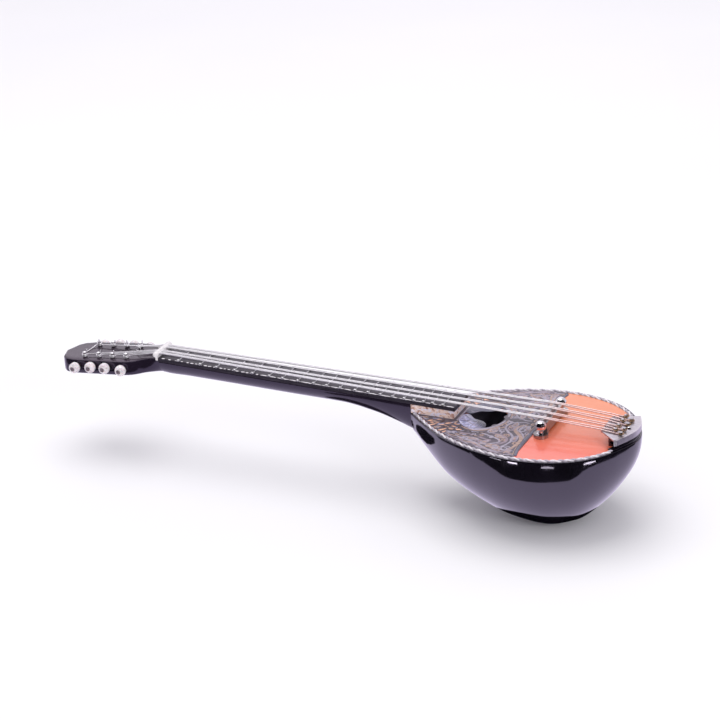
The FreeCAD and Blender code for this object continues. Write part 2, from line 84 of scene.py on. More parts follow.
# --------------------------------------------------------------- materials
class Mat:
    def __init__(self, name):
        self.m = bpy.data.materials.new(name)
        self.m.use_nodes = True
        self.t = self.m.node_tree
        self.n = self.t.nodes
        self.b = self.n["Principled BSDF"]

    def node(self, kind, **kw):
        nd = self.n.new(kind)
        for k, v in kw.items():
            if k in nd.inputs:
                nd.inputs[k].default_value = v
            else:
                setattr(nd, k, v)
        return nd

    def link(self, a, b):
        self.t.links.new(a, b)

    def set(self, **kw):
        for k, v in kw.items():
            self.b.inputs[k.replace("_", " ")].default_value = v
        return self

    def coords(self, scale=(1, 1, 1), rot=(0, 0, 0)):
        tc = self.node("ShaderNodeTexCoord")
        mp = self.node("ShaderNodeMapping")
        mp.inputs["Scale"].default_value = scale
        mp.inputs["Rotation"].default_value = rot
        self.link(tc.outputs["Object"], mp.inputs["Vector"])
        return mp.outputs["Vector"]

    def noise(self, vec, scale, detail=4.0, rough=0.5, dist=0.0):
        nd = self.node("ShaderNodeTexNoise")
        nd.inputs["Scale"].default_value = scale
        nd.inputs["Detail"].default_value = detail
        nd.inputs["Roughness"].default_value = rough
        nd.inputs["Distortion"].default_value = dist
        self.link(vec, nd.inputs["Vector"])
        return nd.outputs["Fac"]

    def ramp(self, fac, stops):
        nd = self.node("ShaderNodeValToRGB")
        cr = nd.color_ramp
        while len(cr.elements) > 1:
            cr.elements.remove(cr.elements[-1])
        for i, (p, c) in enumerate(stops):
            e = cr.elements[0] if i == 0 else cr.elements.new(p)
            e.position = p
            e.color = (*c, 1.0) if len(c) == 3 else c
        self.link(fac, nd.inputs["Fac"])
        return nd.outputs["Color"]

    def rng(self, fac, a, b, lo, hi):
        nd = self.node("ShaderNodeMapRange")
        nd.inputs["From Min"].default_value = a
        nd.inputs["From Max"].default_value = b
        nd.inputs["To Min"].default_value = lo
        nd.inputs["To Max"].default_value = hi
        self.link(fac, nd.inputs["Value"])
        return nd.outputs["Result"]

    def bump(self, height, strength=0.2, dist=0.0001, chain=None):
        nd = self.node("ShaderNodeBump")
        nd.inputs["Strength"].default_value = strength
        nd.inputs["Distance"].default_value = dist
        self.link(height, nd.inputs["Height"])
        if chain is not None:
            self.link(chain, nd.inputs["Normal"])
        self.link(nd.outputs["Normal"], self.b.inputs["Normal"])
        return nd.outputs["Normal"]

    def mix(self, fac, a, b, blend="MIX"):
        nd = self.node("ShaderNodeMix", data_type="RGBA", blend_type=blend)
        for key, v in (("A", a), ("B", b)):
            sock = [s for s in nd.inputs if s.name == key and s.type == "RGBA"][0]
            if isinstance(v, (tuple, list)):
                sock.default_value = (*v, 1.0) if len(v) == 3 else v
            else:
                self.link(v, sock)
        f = [s for s in nd.inputs if s.name == "Factor" and s.type == "VALUE"][0]
        if isinstance(fac, (int, float)):
            f.default_value = fac
        else:
            self.link(fac, f)
        return [s for s in nd.outputs if s.type == "RGBA"][0]

    def math(self, op, a, b=None, c=None):
        nd = self.node("ShaderNodeMath", operation=op)
        for i, v in enumerate((a, b, c)):
            if v is None:
                continue
            if isinstance(v, (int, float)):
                nd.inputs[i].default_value = v
            else:
                self.link(v, nd.inputs[i])
        return nd.outputs[0]


def black_lacquer(name="black_lacquer"):
    M = Mat(name)
    v = M.coords()
    big = M.noise(v, 60.0, 3.0)
    col = M.ramp(big, [(0.3, (0.0035, 0.003, 0.0045)), (0.7, (0.006, 0.005, 0.008))])
    M.link(col, M.b.inputs["Base Color"])
    smudge = M.noise(v, 240.0, 5.0, 0.6)
    M.link(M.rng(smudge, 0.3, 0.75, 0.05, 0.13), M.b.inputs["Roughness"])
    M.set(IOR=1.75, Coat_Weight=0.6, Coat_Roughness=0.03, Coat_IOR=1.6, Specular_Tint=(0.88, 0.80, 1.0, 1), Coat_Tint=(0.95, 0.92, 1.0, 1))
    peel = M.noise(v, 420.0, 2.0, 0.4)
    M.bump(peel, 0.05, 0.00012)
    return M.m


def soundboard_wood():
    M = Mat("soundboard_wood")
    grain_v = M.coords(scale=(0.05, 1.0, 0.3))
    grain = M.noise(grain_v, 2600.0, 4.0, 0.6, 0.4)
    broad = M.noise(M.coords(scale=(0.4, 1.0, 1.0)), 45.0, 3.0, 0.5)
    near = M.ramp(broad, [(0.25, (0.80, 0.160, 0.115)), (0.5, (0.86, 0.185, 0.13)), (0.8, (0.88, 0.21, 0.15))])
    away = M.ramp(broad, [(0.25, (0.76, 0.225, 0.09)), (0.5, (0.82, 0.255, 0.105)), (0.8, (0.84, 0.28, 0.12))])
    sep = M.node("ShaderNodeSeparateXYZ")
    M.link(M.coords(), sep.inputs["Vector"])
    base = M.mix(M.rng(sep.outputs["Y"], -0.020, 0.010, 0.0, 1.0), near, away)
    dark = M.ramp(grain, [(0.35, (0.88, 0.76, 0.66)), (0.62, (1.0, 1.0, 1.0))])
    col = M.mix(0.35, base, dark, "MULTIPLY")
    M.link(col, M.b.inputs["Base Color"])
    fine = M.noise(M.coords(), 500.0, 3.0)
    M.link(M.rng(fine, 0.3, 0.7, 0.30, 0.40), M.b.inputs["Roughness"])
    M.set(IOR=1.4, Coat_Weight=0.75, Coat_Roughness=0.13, Coat_IOR=1.5)
    M.bump(grain, 0.06, 0.00008)
    return M.m


def plain_wood():
    M = Mat("plain_wood")
    v = M.coords(scale=(0.08, 1, 1))
    g = M.noise(v, 1500.0, 5.0, 0.6, 0.5)
    M.link(M.ramp(g, [(0.3, (0.36, 0.21, 0.10)), (0.7, (0.56, 0.37, 0.20))]), M.b.inputs["Base Color"])
    M.set(Roughness=0.7)
    M.bump(g, 0.2, 0.0001)
    return M.m


def guard_sheet():
    M = Mat("guard_sheet")
    v = M.coords()
    n1 = M.noise(v, 160.0, 5.0, 0.6, 1.2)
    n2 = M.noise(v, 900.0, 3.0, 0.6)
    c = M.ramp(n1, [(0.3, (0.060, 0.050, 0.066)), (0.55, (0.11, 0.09, 0.115)), (0.8, (0.17, 0.145, 0.18))])
    c2 = M.ramp(n2, [(0.3, (0.82, 0.80, 0.85)), (0.7, (1, 1, 1))])
    M.link(M.mix(0.6, c, c2, "MULTIPLY"), M.b.inputs["Base Color"])
    M.link(M.rng(n2, 0.3, 0.7, 0.28, 0.42), M.b.inputs["Roughness"])
    M.set(IOR=1.4, Coat_Weight=0.12, Coat_Roughness=0.15)
    M.bump(n2, 0.08, 0.00006)
    return M.m


def metal(name, col, rough, scale=300.0, bump=0.08, stretch=(1, 1, 1), vary=0.12, dark=0.75, anis=0.0):
    M = Mat(name)
    v = M.coords(scale=stretch)
    n = M.noise(v, scale, 4.0, 0.6)
    c0 = tuple(x * dark for x in col)
    M.link(M.ramp(n, [(0.25, c0), (0.6, col)]), M.b.inputs["Base Color"])
    M.link(M.rng(n, 0.25, 0.75, max(rough - vary / 2, 0.03), rough + vary / 2), M.b.inputs["Roughness"])
    M.set(Metallic=1.0)
    if anis:
        M.set(Anisotropic=anis)
    M.bump(n, bump, 0.00006)
    return M.m


def pearl():
    M = Mat("knob_pearl")
    v = M.coords()
    n = M.noise(v, 330.0, 4.0, 0.55, 1.5)
    fine = M.noise(v, 1500.0, 2.0)
    base = M.ramp(n, [(0.25, (0.56, 0.49, 0.53)), (0.5, (0.80, 0.75, 0.77)), (0.8, (0.90, 0.87, 0.88))])
    vein = M.ramp(M.noise(v, 420.0, 3.0, 0.6, 2.2), [(0.455, (0, 0, 0)), (0.485, (0.75, 0.75, 0.75)), (0.515, (0, 0, 0))])
    M.link(M.mix(vein, base, (0.30, 0.20, 0.20)), M.b.inputs["Base Color"])
    M.link(M.rng(fine, 0.3, 0.7, 0.14, 0.26), M.b.inputs["Roughness"])
    M.set(Coat_Weight=0.7, Coat_Roughness=0.05, Sheen_Weight=0.15, Subsurface_Weight=0.08,
          Subsurface_Scale=0.001)
    M.bump(n, 0.05, 0.0001)
    return M.m


def white_plastic(name, col):
    M = Mat(name)
    v = M.coords()
    n = M.noise(v, 900.0, 4.0)
    M.link(M.ramp(n, [(0.2, tuple(x * 0.86 for x in col)), (0.6, col)]), M.b.inputs["Base Color"])
    M.link(M.rng(n, 0.3, 0.7, 0.3, 0.42), M.b.inputs["Roughness"])
    M.bump(n, 0.08, 0.00005)
    return M.m


def fretboard_mat():
    M = Mat("fretboard_black")
    v = M.coords(scale=(0.06, 1, 1))
    g = M.noise(v, 2200.0, 5.0, 0.65, 0.3)
    M.link(M.ramp(g, [(0.3, (0.010, 0.008, 0.012)), (0.75, (0.045, 0.038, 0.052))]), M.b.inputs["Base Color"])
    M.link(M.rng(g, 0.3, 0.7, 0.26, 0.42), M.b.inputs["Roughness"])
    M.set(IOR=1.5, Coat_Weight=0.15, Coat_Roughness=0.15, Specular_Tint=(0.92, 0.82, 1.0, 1))
    M.bump(g, 0.2, 0.00006)
    return M.m


def riser_mat():
    M = Mat("riser_wood")
    v = M.coords(scale=(0.6, 1, 1))
    g = M.noise(v, 520.0, 4.0, 0.6, 1.4)
    h = M.noise(M.coords(scale=(0.7, 1, 1.2)), 760.0, 3.0, 0.5, 0.8)
    base = M.ramp(g, [(0.27, (0.10, 0.05, 0.06)), (0.38, (0.55, 0.30, 0.24)), (0.52, (0.96, 0.74, 0.64)), (0.75, (0.92, 0.76, 0.76))])
    pale = M.ramp(h, [(0.52, (0, 0, 0)), (0.58, (1, 1, 1))])
    M.link(M.mix(pale, base, (0.86, 0.80, 0.92)), M.b.inputs["Base Color"])
    M.link(M.rng(g, 0.3, 0.7, 0.22, 0.36), M.b.inputs["Roughness"])
    M.set(Coat_Weight=0.5, Coat_Roughness=0.08)
    M.bump(g, 0.12, 0.00008)
    return M.m


def cord_mat():
    M = Mat("binding_cord")
    v = M.coords()
    n = M.noise(v, 1800.0, 4.0, 0.6)
    M.link(M.ramp(n, [(0.25, (0.56, 0.52, 0.57)), (0.6, (0.86, 0.82, 0.86))]), M.b.inputs["Base Color"])
    M.link(M.rng(n, 0.3, 0.7, 0.35, 0.5), M.b.inputs["Roughness"])
    M.bump(n, 0.25, 0.00006)
    return M.m


def wire_mat():
    M = Mat("string_steel")
    n = M.noise(M.coords(scale=(0.2, 1, 1)), 1200.0, 3.0)
    steel = M.ramp(n, [(0.25, (0.84, 0.81, 0.85)), (0.6, (0.97, 0.95, 0.98))])
    # painted reflection: the wires are tinted pink where they run close over the orange varnish, standing in for the
    # board's reflection in the steel
    sep = M.node("ShaderNodeSeparateXYZ")
    M.link(M.coords(), sep.inputs["Vector"])
    M.link(M.mix(M.rng(sep.outputs["X"], -0.006, 0.003, 0.0, 1.0), steel, (0.93, 0.70, 0.68)), M.b.inputs["Base Color"])
    M.link(M.rng(n, 0.25, 0.75, 0.30, 0.42), M.b.inputs["Roughness"])
    M.set(Metallic=0.75)
    M.bump(n, 0.05, 0.00003)
    return M.m


MATS = {
    "black_lacquer": black_lacquer(),
    "soundboard_wood": soundboard_wood(),
    "plain_wood": plain_wood(),
    "guard_sheet": guard_sheet(),
    "purfling_rope": cord_mat(),
    "riser_wood": riser_mat(),
    "fretboard_black": fretboard_mat(),
    "fret_wire": metal("fret_wire", (0.78, 0.77, 0.79), 0.28, 900.0),
    "nut_white": white_plastic("nut_white", (0.80, 0.77, 0.78)),
    "bridge_metal": metal("bridge_metal", (0.46, 0.43, 0.44), 0.34, 700.0, 0.12, dark=0.7),
    "chrome": metal("chrome", (0.82, 0.80, 0.84), 0.09, 260.0, 0.02, vary=0.06, dark=0.9),
    "sheet_metal": metal("sheet_metal", (0.66, 0.62, 0.67), 0.42, 900.0, 0.12, (0.15, 1, 1), 0.16),
    "brass_wire": metal("brass_wire", (0.52, 0.33, 0.17), 0.3, 1500.0, 0.15, dark=0.5),
    "string_steel": wire_mat(),
    "post_steel": metal("post_steel", (0.52, 0.50, 0.53), 0.3, 1100.0, 0.12),
    "knob_pearl": pearl(),
    "pin_bronze": metal("pin_bronze", (0.74, 0.64, 0.62), 0.5, 1700.0, 0.4, dark=0.5),
}
SLOT = {s["node"]: s["material_slot"] for s in frame["record"]["subparts"]}
for name, ob in NODES.items():
    m = MATS[SLOT[name]]
    if not ob.material_slots:
        ob.data.materials.append(m)
    for s in ob.material_slots:
        s.material = m


# ---------------------------------------------------------- shared outlines
LIP, PURF_W, TOP_T, GUARD_T = 0.7, 1.3, 1.2, 0.25
GUARD_END = 47.7
HOLE_X, HOLE_A, HOLE_B = 26.3, 7.7, 10.3
BOWL_EXP = 2.3
FB_T, FB_Z0, FB_SLOPE, FB_END = 1.5, 5.42, -0.0232, 17.4
NUT_X0, NUT_X1 = -105.4, -104.2
FB_HW_NUT, FB_HW_END = 4.9, 6.4
HEAD_TOP0, HEAD_SLOPE, HEAD_X0, HEAD_T = 7.3, 0.092, -106.0, 6.0
POST_X = [-117.7, -123.8, -129.9, -136.2]
POST_Y, POST_R, POST_UP, WIRE_R = 5.5, 0.6, 1.7, 0.2
KNOB_X = [-117.2, -124.3, -130.6, -137.6]
KNOB_DROP = [2.6, 2.0, 1.8, 2.2]
KNOB_CY, KNOB_HT = 11.45, 1.6
HOOK_NEAR = [-8.0, -6.2, -4.4, -2.6]
HOOK_FAR = [5.4, 3.6, 1.6, -0.4]
HOOK_ROWS = (77.2, 79.8)
TP_FRONT, TP_Z_FRONT, TP_SLOPE, TP_T = 72.5, 4.9, -0.10, 0.45
FRET_X = [-95.5, -86.1, -79.2, -71.5, -64.0, -57.0, -51.5, -45.2, -38.8, -33.5,
          -28.0, -22.0, -16.8, -11.8, -7.0, -2.5, 1.4, 5.1, 8.6, 12.7]
BRX, SCREW_Y, BR_H = 50.9, (-9.1, 11.5), 4.6
FOOT_R, FOOT_T, BALL_R, BALL_Z = 2.6, 1.2, 1.85, 4.0
HALF_W = [(-8.0, 0), (0, 6.0), (3, 8.7), (5.9, 11.3), (12, 16.5), (17.2, 20.2),
          (22.4, 23.1), (27.1, 25.3), (31.4, 26.9), (35.7, 28.1), (39.9, 29.1),
          (43.8, 29.7), (47.6, 29.9), (51.1, 29.8), (54.7, 29.4), (58.1, 28.7),
          (61.3, 27.8), (64.4, 26.6), (67.5, 25.1), (70.3, 23.3), (72.9, 21.2),
          (75.3, 18.8), (77.5, 15.9), (79.5, 12.8), (81.3, 9.3), (82.8, 5.9), (84.0, 0)]
DEPTH = [(-8.0, 0), (0, 9.1), (8, 15.3), (18, 22.8), (30, 28.4), (42, 32.5),
         (54, 34.1), (64, 31.4), (72, 24.7), (78, 17.2), (84.0, 0)]
IN_HALF = [(8.5, 0), (12, 9.5), (17.2, 15.6), (22.4, 19.0), (27.1, 21.5), (31.4, 23.2),
           (35.7, 24.5), (39.9, 25.5), (43.8, 26.1), (47.6, 26.3), (51.1, 26.2),
           (54.7, 25.8), (58.1, 25.1), (61.3, 24.1), (64.4, 22.8), (67.5, 21.1),
           (70.3, 19.0), (72.9, 16.5), (75.3, 13.2), (77.5, 9.2), (79.6, 0)]
IN_DEPTH = [(8.5, 0), (12, 12.0), (18, 18.4), (30, 24.6), (42, 28.7), (54, 30.2),
            (64, 27.5), (72, 20.4), (76.5, 13.0), (79.6, 0)]


def monotone(table, square):
    xs = [p[0] for p in table]
    ys = [p[1] ** 2 if square else p[1] for p in table]
    n = len(xs)
    d = [(ys[i + 1] - ys[i]) / (xs[i + 1] - xs[i]) for i in range(n - 1)]
    m = [d[0]] + [0 if d[i - 1] * d[i] <= 0 else
                  2 * d[i - 1] * d[i] / (d[i - 1] + d[i]) for i in range(1, n - 1)] + [d[-1]]

    def f(x):
        x = min(max(x, xs[0]), xs[-1])
        i = 0
        while i < n - 2 and x > xs[i + 1]:
            i += 1
        h = xs[i + 1] - xs[i]
        t = (x - xs[i]) / h
        v = ((2 * t ** 3 - 3 * t ** 2 + 1) * ys[i] + (t ** 3 - 2 * t ** 2 + t) * h * m[i]
             + (-2 * t ** 3 + 3 * t ** 2) * ys[i + 1] + (t ** 3 - t ** 2) * h * m[i + 1])
        return math.sqrt(max(v, 0)) if square else v
    return f


w_out, d_out = monotone(HALF_W, True), monotone(DEPTH, True)
w_in, d_in = monotone(IN_HALF, True), monotone(IN_DEPTH, True)


def contour(w, d, z, xmin, xmax, n):
    a, b = xmin, xmax
    if z > 0:
        peak = max((d(xmin + (xmax - xmin) * i / 400.0), xmin + (xmax - xmin) * i / 400.0)
                   for i in range(401))[1]
        lo, hi = xmin, peak
        for _ in range(40):
            mid = (lo + hi) / 2
            lo, hi = (mid, hi) if d(mid) < z else (lo, mid)
        a = hi
        lo, hi = peak, xmax
        for _ in range(40):
            mid = (lo + hi) / 2
            lo, hi = (mid, hi) if d(mid) >= z else (lo, mid)
        b = lo

    def y(x):
        if z <= 0:
            return w(x)
        r = max(0.0, 1 - (z / max(d(x), 1e-6)) ** BOWL_EXP)
        return w(x) * r ** (1 / BOWL_EXP)
    xm, xh = (a + b) / 2, (b - a) / 2
    up = [(xm - xh * math.cos(math.pi * i / n), i) for i in range(n + 1)]
    pts = [(x, 0.0 if i in (0, n) else y(x)) for x, i in up]
    return pts + [(x, -yy) for x, yy in reversed(pts[1:-1])]


def offset_outline(off, n=110):
    pts = contour(w_out, d_out, 0.0, -8.0, 84.0, n)
    m = len(pts)
    out = []
    for i in range(m):
        x0, y0 = pts[(i - 1) % m]
        x1, y1 = pts[(i + 1) % m]
        tx, ty = x1 - x0, y1 - y0
        L = math.hypot(tx, ty)
        out.append((pts[i][0] + ty / L * off, pts[i][1] - tx / L * off))
    return out


def fb_top(x):
    return FB_Z0 + FB_SLOPE * x


def fb_hw(x):
    return FB_HW_NUT + (FB_HW_END - FB_HW_NUT) * (x - NUT_X1) / (FB_END - NUT_X1)


def head_top(x):
    return HEAD_TOP0 + HEAD_SLOPE * (x - HEAD_X0)


def tp_top(x):
    return TP_Z_FRONT + TP_SLOPE * (x - TP_FRONT)


def smooth(a, b, x):
    t = min(max((x - a) / (b - a), 0.0), 1.0)
    return t * t * (3 - 2 * t)


# ------------------------------------------------------------- mesh helpers
def make(name, verts, faces, mats, body=BODY, replaces=(), angle=40.0, face_mats=None, weld=0.0):
    """New mesh piece from station-space vertices (mm), riding on a body."""
    me = bpy.data.meshes.new(name)
    me.from_pydata([tuple(P(*v)) for v in verts], [], faces)
    for m in (mats if isinstance(mats, (list, tuple)) else [mats]):
        me.materials.append(m)
    if face_mats is not None:
        me.polygons.foreach_set("material_index", face_mats)
    bm = bmesh.new()
    bm.from_mesh(me)
    if weld:
        bmesh.ops.remove_doubles(bm, verts=bm.verts, dist=weld * MM)
    bmesh.ops.recalc_face_normals(bm, faces=bm.faces)
    bm.to_mesh(me)
    bm.free()
    me.shade_smooth()
    me.set_sharp_from_angle(angle=math.radians(angle))
    ob = bpy.data.objects.new(name, me)
    scene.collection.objects.link(ob)
    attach(ob, body)
    if replaces:
        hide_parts(*replaces)
    return ob


def grid_faces(rows, cols, closed_cols=True, base=0):
    f = []
    for i in range(rows - 1):
        for j in range(cols if closed_cols else cols - 1):
            k = (j + 1) % cols
            f.append((base + i * cols + j, base + i * cols + k, base + (i + 1) * cols + k, base + (i + 1) * cols + j))
    return f


class Build:
    """Collects several closed shells into one mesh."""

    def __init__(self):
        self.v, self.f, self.m = [], [], []

    def add(self, v, f, m=0):
        b = len(self.v)
        self.v += [tuple(p) for p in v]
        self.f += [tuple(i + b for i in q) for q in f]
        self.m += [m] * len(f)

    def rings(self, rings, m=0, caps=True):
        n = len(rings[0])
        v = [p for r in rings for p in r]
        f = grid_faces(len(rings), n)
        if caps:
            f.append(tuple(range(n - 1, -1, -1)))
            f.append(tuple((len(rings) - 1) * n + j for j in range(n)))
        self.add(v, f, m)

    def tube(self, pts, r, sides=10, m=0, radii=None):
        pts = [Vector(p) for p in pts]
        out = []
        t0 = (pts[1] - pts[0]).normalized()
        ref = Vector((0, 0, 1)) if abs(t0.z) < 0.9 else Vector((1, 0, 0))
        nrm = (ref - t0 * ref.dot(t0)).normalized()
        for i, p in enumerate(pts):
            a = pts[max(i - 1, 0)]
            b = pts[min(i + 1, len(pts) - 1)]
            t = (b - a).normalized()
            nrm = (nrm - t * nrm.dot(t)).normalized()
            bn = t.cross(nrm)
            rr = radii[i] if radii else r
            out.append([p + (nrm * math.cos(2 * math.pi * j / sides) + bn * math.sin(2 * math.pi * j / sides)) * rr
                        for j in range(sides)])
        # domed ends
        for end, sgn in ((0, -1), (-1, 1)):
            p, q = pts[end], pts[1] if end == 0 else pts[-2]
            t = (p - q).normalized()
            rr = radii[end] if radii else r
            base = out[end]
            dome = []
            for k in (1, 2):
                a = k * math.pi / 5
                dome.append([p + (v - p) * math.cos(a) + t * rr * math.sin(a) for v in base])
            out = list(reversed(dome)) + out if end == 0 else out + dome
        self.rings(out, m)

    def lathe(self, base, axis, prof, sides=32, m=0):
        """prof: list of (distance along axis, radius)."""
        base, axis = Vector(base), Vector(axis).normalized()
        ref = Vector((1, 0, 0)) if abs(axis.x) < 0.9 else Vector((0, 1, 0))
        a = (ref - axis * ref.dot(axis)).normalized()
        b = axis.cross(a)
        self.rings([[base + axis * h + (a * math.cos(2 * math.pi * j / sides) + b * math.sin(2 * math.pi * j / sides)) * max(r, 0.005)
                     for j in range(sides)] for h, r in prof], m)

    def ribbon(self, pts, widths, z0=GUARD_T, h=0.07, m=0, lift=None):
        """Raised strip with a rounded back along a flat polyline."""
        rings = []
        n = len(pts)
        for i in range(n):
            x0, y0 = pts[max(i - 1, 0)]
            x1, y1 = pts[min(i + 1, n - 1)]
            tx, ty = x1 - x0, y1 - y0
            L = math.hypot(tx, ty) or 1.0
            nx_, ny_ = -ty / L, tx / L
            w = max(widths[i], 0.02) / 2
            x, y = pts[i]
            zz = z0 + (lift(x, y) if lift else 0.0)
            hh = h * min(1.0, w / 0.12 + 0.25)
            rings.append([(x + nx_ * w, y + ny_ * w, zz - 0.04), (x + nx_ * w, y + ny_ * w, zz + hh * 0.35),
                          (x + nx_ * w * 0.5, y + ny_ * w * 0.5, zz + hh), (x - nx_ * w * 0.5, y - ny_ * w * 0.5, zz + hh),
                          (x - nx_ * w, y - ny_ * w, zz + hh * 0.35), (x - nx_ * w, y - ny_ * w, zz - 0.04)])
        self.rings(rings, m)

    def plate(self, outline, z0=GUARD_T, h=0.08, m=0, inset=0.12):
        """Low cushion-edged plate filling a closed outline."""
        n = len(outline)
        cx = sum(p[0] for p in outline) / n
        cy = sum(p[1] for p in outline) / n

        def ring(k, z):
            r = []
            for x, y in outline:
                L = math.hypot(x - cx, y - cy) or 1.0
                s = max(L - k, 0.0) / L
                r.append((cx + (x - cx) * s, cy + (y - cy) * s, z))
            return r
        rings = [ring(0, z0 - 0.04), ring(0, z0 + h * 0.5), ring(inset, z0 + h)]
        v = [p for r in rings for p in r]
        f = grid_faces(3, n)
        f.append(tuple(range(n - 1, -1, -1)))
        v.append((cx, cy, z0 + h * 1.05))
        c = len(v) - 1
        for j in range(n):
            f.append((2 * n + j, 2 * n + (j + 1) % n, c))
        self.add(v, f, m)


def catmull(pts, n=8):
    out = []
    q = [pts[0]] + list(pts) + [pts[-1]]
    for i in range(1, len(q) - 2):
        for k in range(n):
            t = k / n
            a = [q[i - 1], q[i], q[i + 1], q[i + 2]]
            out.append(tuple(0.5 * ((2 * a[1][c]) + (-a[0][c] + a[2][c]) * t
                                    + (2 * a[0][c] - 5 * a[1][c] + 4 * a[2][c] - a[3][c]) * t * t
                                    + (-a[0][c] + 3 * a[1][c] - 3 * a[2][c] + a[3][c]) * t ** 3)
                             for c in range(len(pts[0]))))
    out.append(tuple(pts[-1]))
    return out


# --------------------------------------------------------------------- bowl
def make_bowl():
    n = 96
    cols = 2 * n
    rows = []
    for th in [0.0, 0.012] + [math.pi / 2 * (0.02 + 0.98 * k / 44) for k in range(44)]:
        z = 34.1 * math.sin(th) ** (2 / BOWL_EXP)
        if z < 33.6:
            rows.append((z, contour(w_out, d_out, z, -8.0, 84.0, n)))
    rows.append((33.6, contour(w_out, d_out, 33.6, -8.0, 84.0, n)))
    rows = [r for r in rows if r[0] == 0.0 or r[0] > 0.35]
    rings = [[(x, y, -z) for x, y in pts] for z, pts in reversed(rows)]
    rings[-1] = [(x, y, -0.22) for x, y in offset_outline(0.0, n)]
    for off, z in ((0.03, -0.11), (0.10, -0.03), (0.22, 0.0), (LIP - 0.06, 0.0), (LIP, -0.05), (LIP, -TOP_T)):
        rings.append([(x, y, z) for x, y in offset_outline(off, n)])
    outer_rows = len(rings)
    cav = contour(w_in, d_in, 0.0, 8.5, 79.6, n)
    rings.append([(x, y, -TOP_T) for x, y in cav])
    for k in range(1, 22):
        z = 29.9 * math.sin(math.pi / 2 * k / 22) ** (2 / BOWL_EXP)
        if z > TOP_T:
            rings.append([(x, y, -z) for x, y in contour(w_in, d_in, z, 8.5, 79.6, n)])
    v = [p for r in rings for p in r]
    f = grid_faces(len(rings), cols)
    fm = [0 if i < outer_rows else 1 for i in range(len(rings) - 1) for _ in range(cols)]
    f.append(tuple(range(cols - 1, -1, -1)))
    f.append(tuple((len(rings) - 1) * cols + j for j in range(cols)))
    fm += [0, 1]
    me = bpy.data.meshes.new("bowl_shell")
    me.from_pydata([tuple(P(*p)) for p in v], [], f)
    me.materials.append(MATS["black_lacquer"])
    me.materials.append(bowl_inside())
    me.polygons.foreach_set("material_index", fm)
    bm = bmesh.new()
    bm.from_mesh(me)
    bmesh.ops.remove_doubles(bm, verts=bm.verts, dist=1e-7)
    g = bmesh.ops.bisect_plane(bm, geom=bm.verts[:] + bm.edges[:] + bm.faces[:], dist=1e-7,
                               plane_co=P(0, 0, 0), plane_no=Vector((-1, 0, 0)), clear_outer=True)
    cut = [e for e in g["geom_cut"] if isinstance(e, bmesh.types.BMEdge)]
    bmesh.ops.holes_fill(bm, edges=cut)
    bmesh.ops.recalc_face_normals(bm, faces=bm.faces)
    bm.to_mesh(me)
    bm.free()
    me.shade_smooth()
    me.set_sharp_from_angle(angle=math.radians(50))
    ob = bpy.data.objects.new("bowl_shell", me)
    scene.collection.objects.link(ob)
    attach(ob, BODY)
    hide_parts("bowl")


def bowl_inside():
    M = Mat("bowl_inside")
    n = M.noise(M.coords(), 260.0, 4.0)
    M.link(M.ramp(n, [(0.3, (0.09, 0.08, 0.13)), (0.7, (0.15, 0.135, 0.21))]), M.b.inputs["Base Color"])
    M.link(M.rng(n, 0.3, 0.7, 0.45, 0.6), M.b.inputs["Roughness"])
    M.bump(n, 0.2, 0.0002)
    return M.m


# ---------------------------------------------------------- neck with head
NECK = [(-110.0, 5.9), (-104.0, 5.85), (-98.0, 5.6), (-92.0, 5.45), (-70.0, 5.5), (-50.0, 5.6), (-36.0, 5.55),
        (-29.0, 5.6), (-23.5, 6.1), (-18.5, 7.0), (-14.0, 7.95), (-10.0, 9.1),
        (-6.0, 10.4), (-3.0, 11.5), (0.0, 12.55)]
HEAD_OUT = [(-104.2, 4.75), (-107.5, 5.0), (-110.3, 6.1), (-112.6, 7.9), (-115.2, 9.1), (-118.5, 9.45),
            (-128.0, 9.3), (-139.3, 9.0), (-143.6, 7.9), (-145.6, 6.0), (-147.6, 0.0)]


def neck_lacquer():
    M = Mat("neck_lacquer")
    v = M.coords()
    big = M.noise(v, 90.0, 4.0)
    M.link(M.ramp(big, [(0.3, (0.010, 0.007, 0.013)), (0.7, (0.016, 0.011, 0.020))]), M.b.inputs["Base Color"])
    smudge = M.noise(v, 320.0, 5.0, 0.6)
    M.link(M.rng(smudge, 0.3, 0.75, 0.09, 0.17), M.b.inputs["Roughness"])
    M.set(IOR=1.58, Coat_Weight=0.16, Coat_Roughness=0.05, Coat_IOR=1.5, Coat_Tint=(0.85, 0.78, 1.0, 1), Specular_Tint=(0.80, 0.70, 0.96, 1))
    M.bump(M.noise(v, 700.0, 3.0, 0.5), 0.08, 0.0001)
    return M.m


def head_top_grain_and_sheen():
    # top faces of the head: their own mottled grain and roughness, with a lighter base colour than the neck as painted
    # sheen for the backdrop reflected in the top
    M = Mat("head_top_grain_and_sheen_lacquer")
    v = M.coords()
    big = M.noise(v, 420.0, 5.0, 0.65, 0.8)
    M.link(M.ramp(big, [(0.35, (0.014, 0.008, 0.014)), (0.65, (0.040, 0.028, 0.042))]), M.b.inputs["Base Color"])
    M.link(M.rng(M.noise(v, 700.0, 5.0, 0.6), 0.3, 0.75, 0.10, 0.24), M.b.inputs["Roughness"])
    M.set(IOR=1.51, Specular_Tint=(0.86, 0.62, 0.92, 1))
    M.bump(M.noise(v, 620.0, 4.0, 0.6), 0.16, 0.00012)
    return M.m


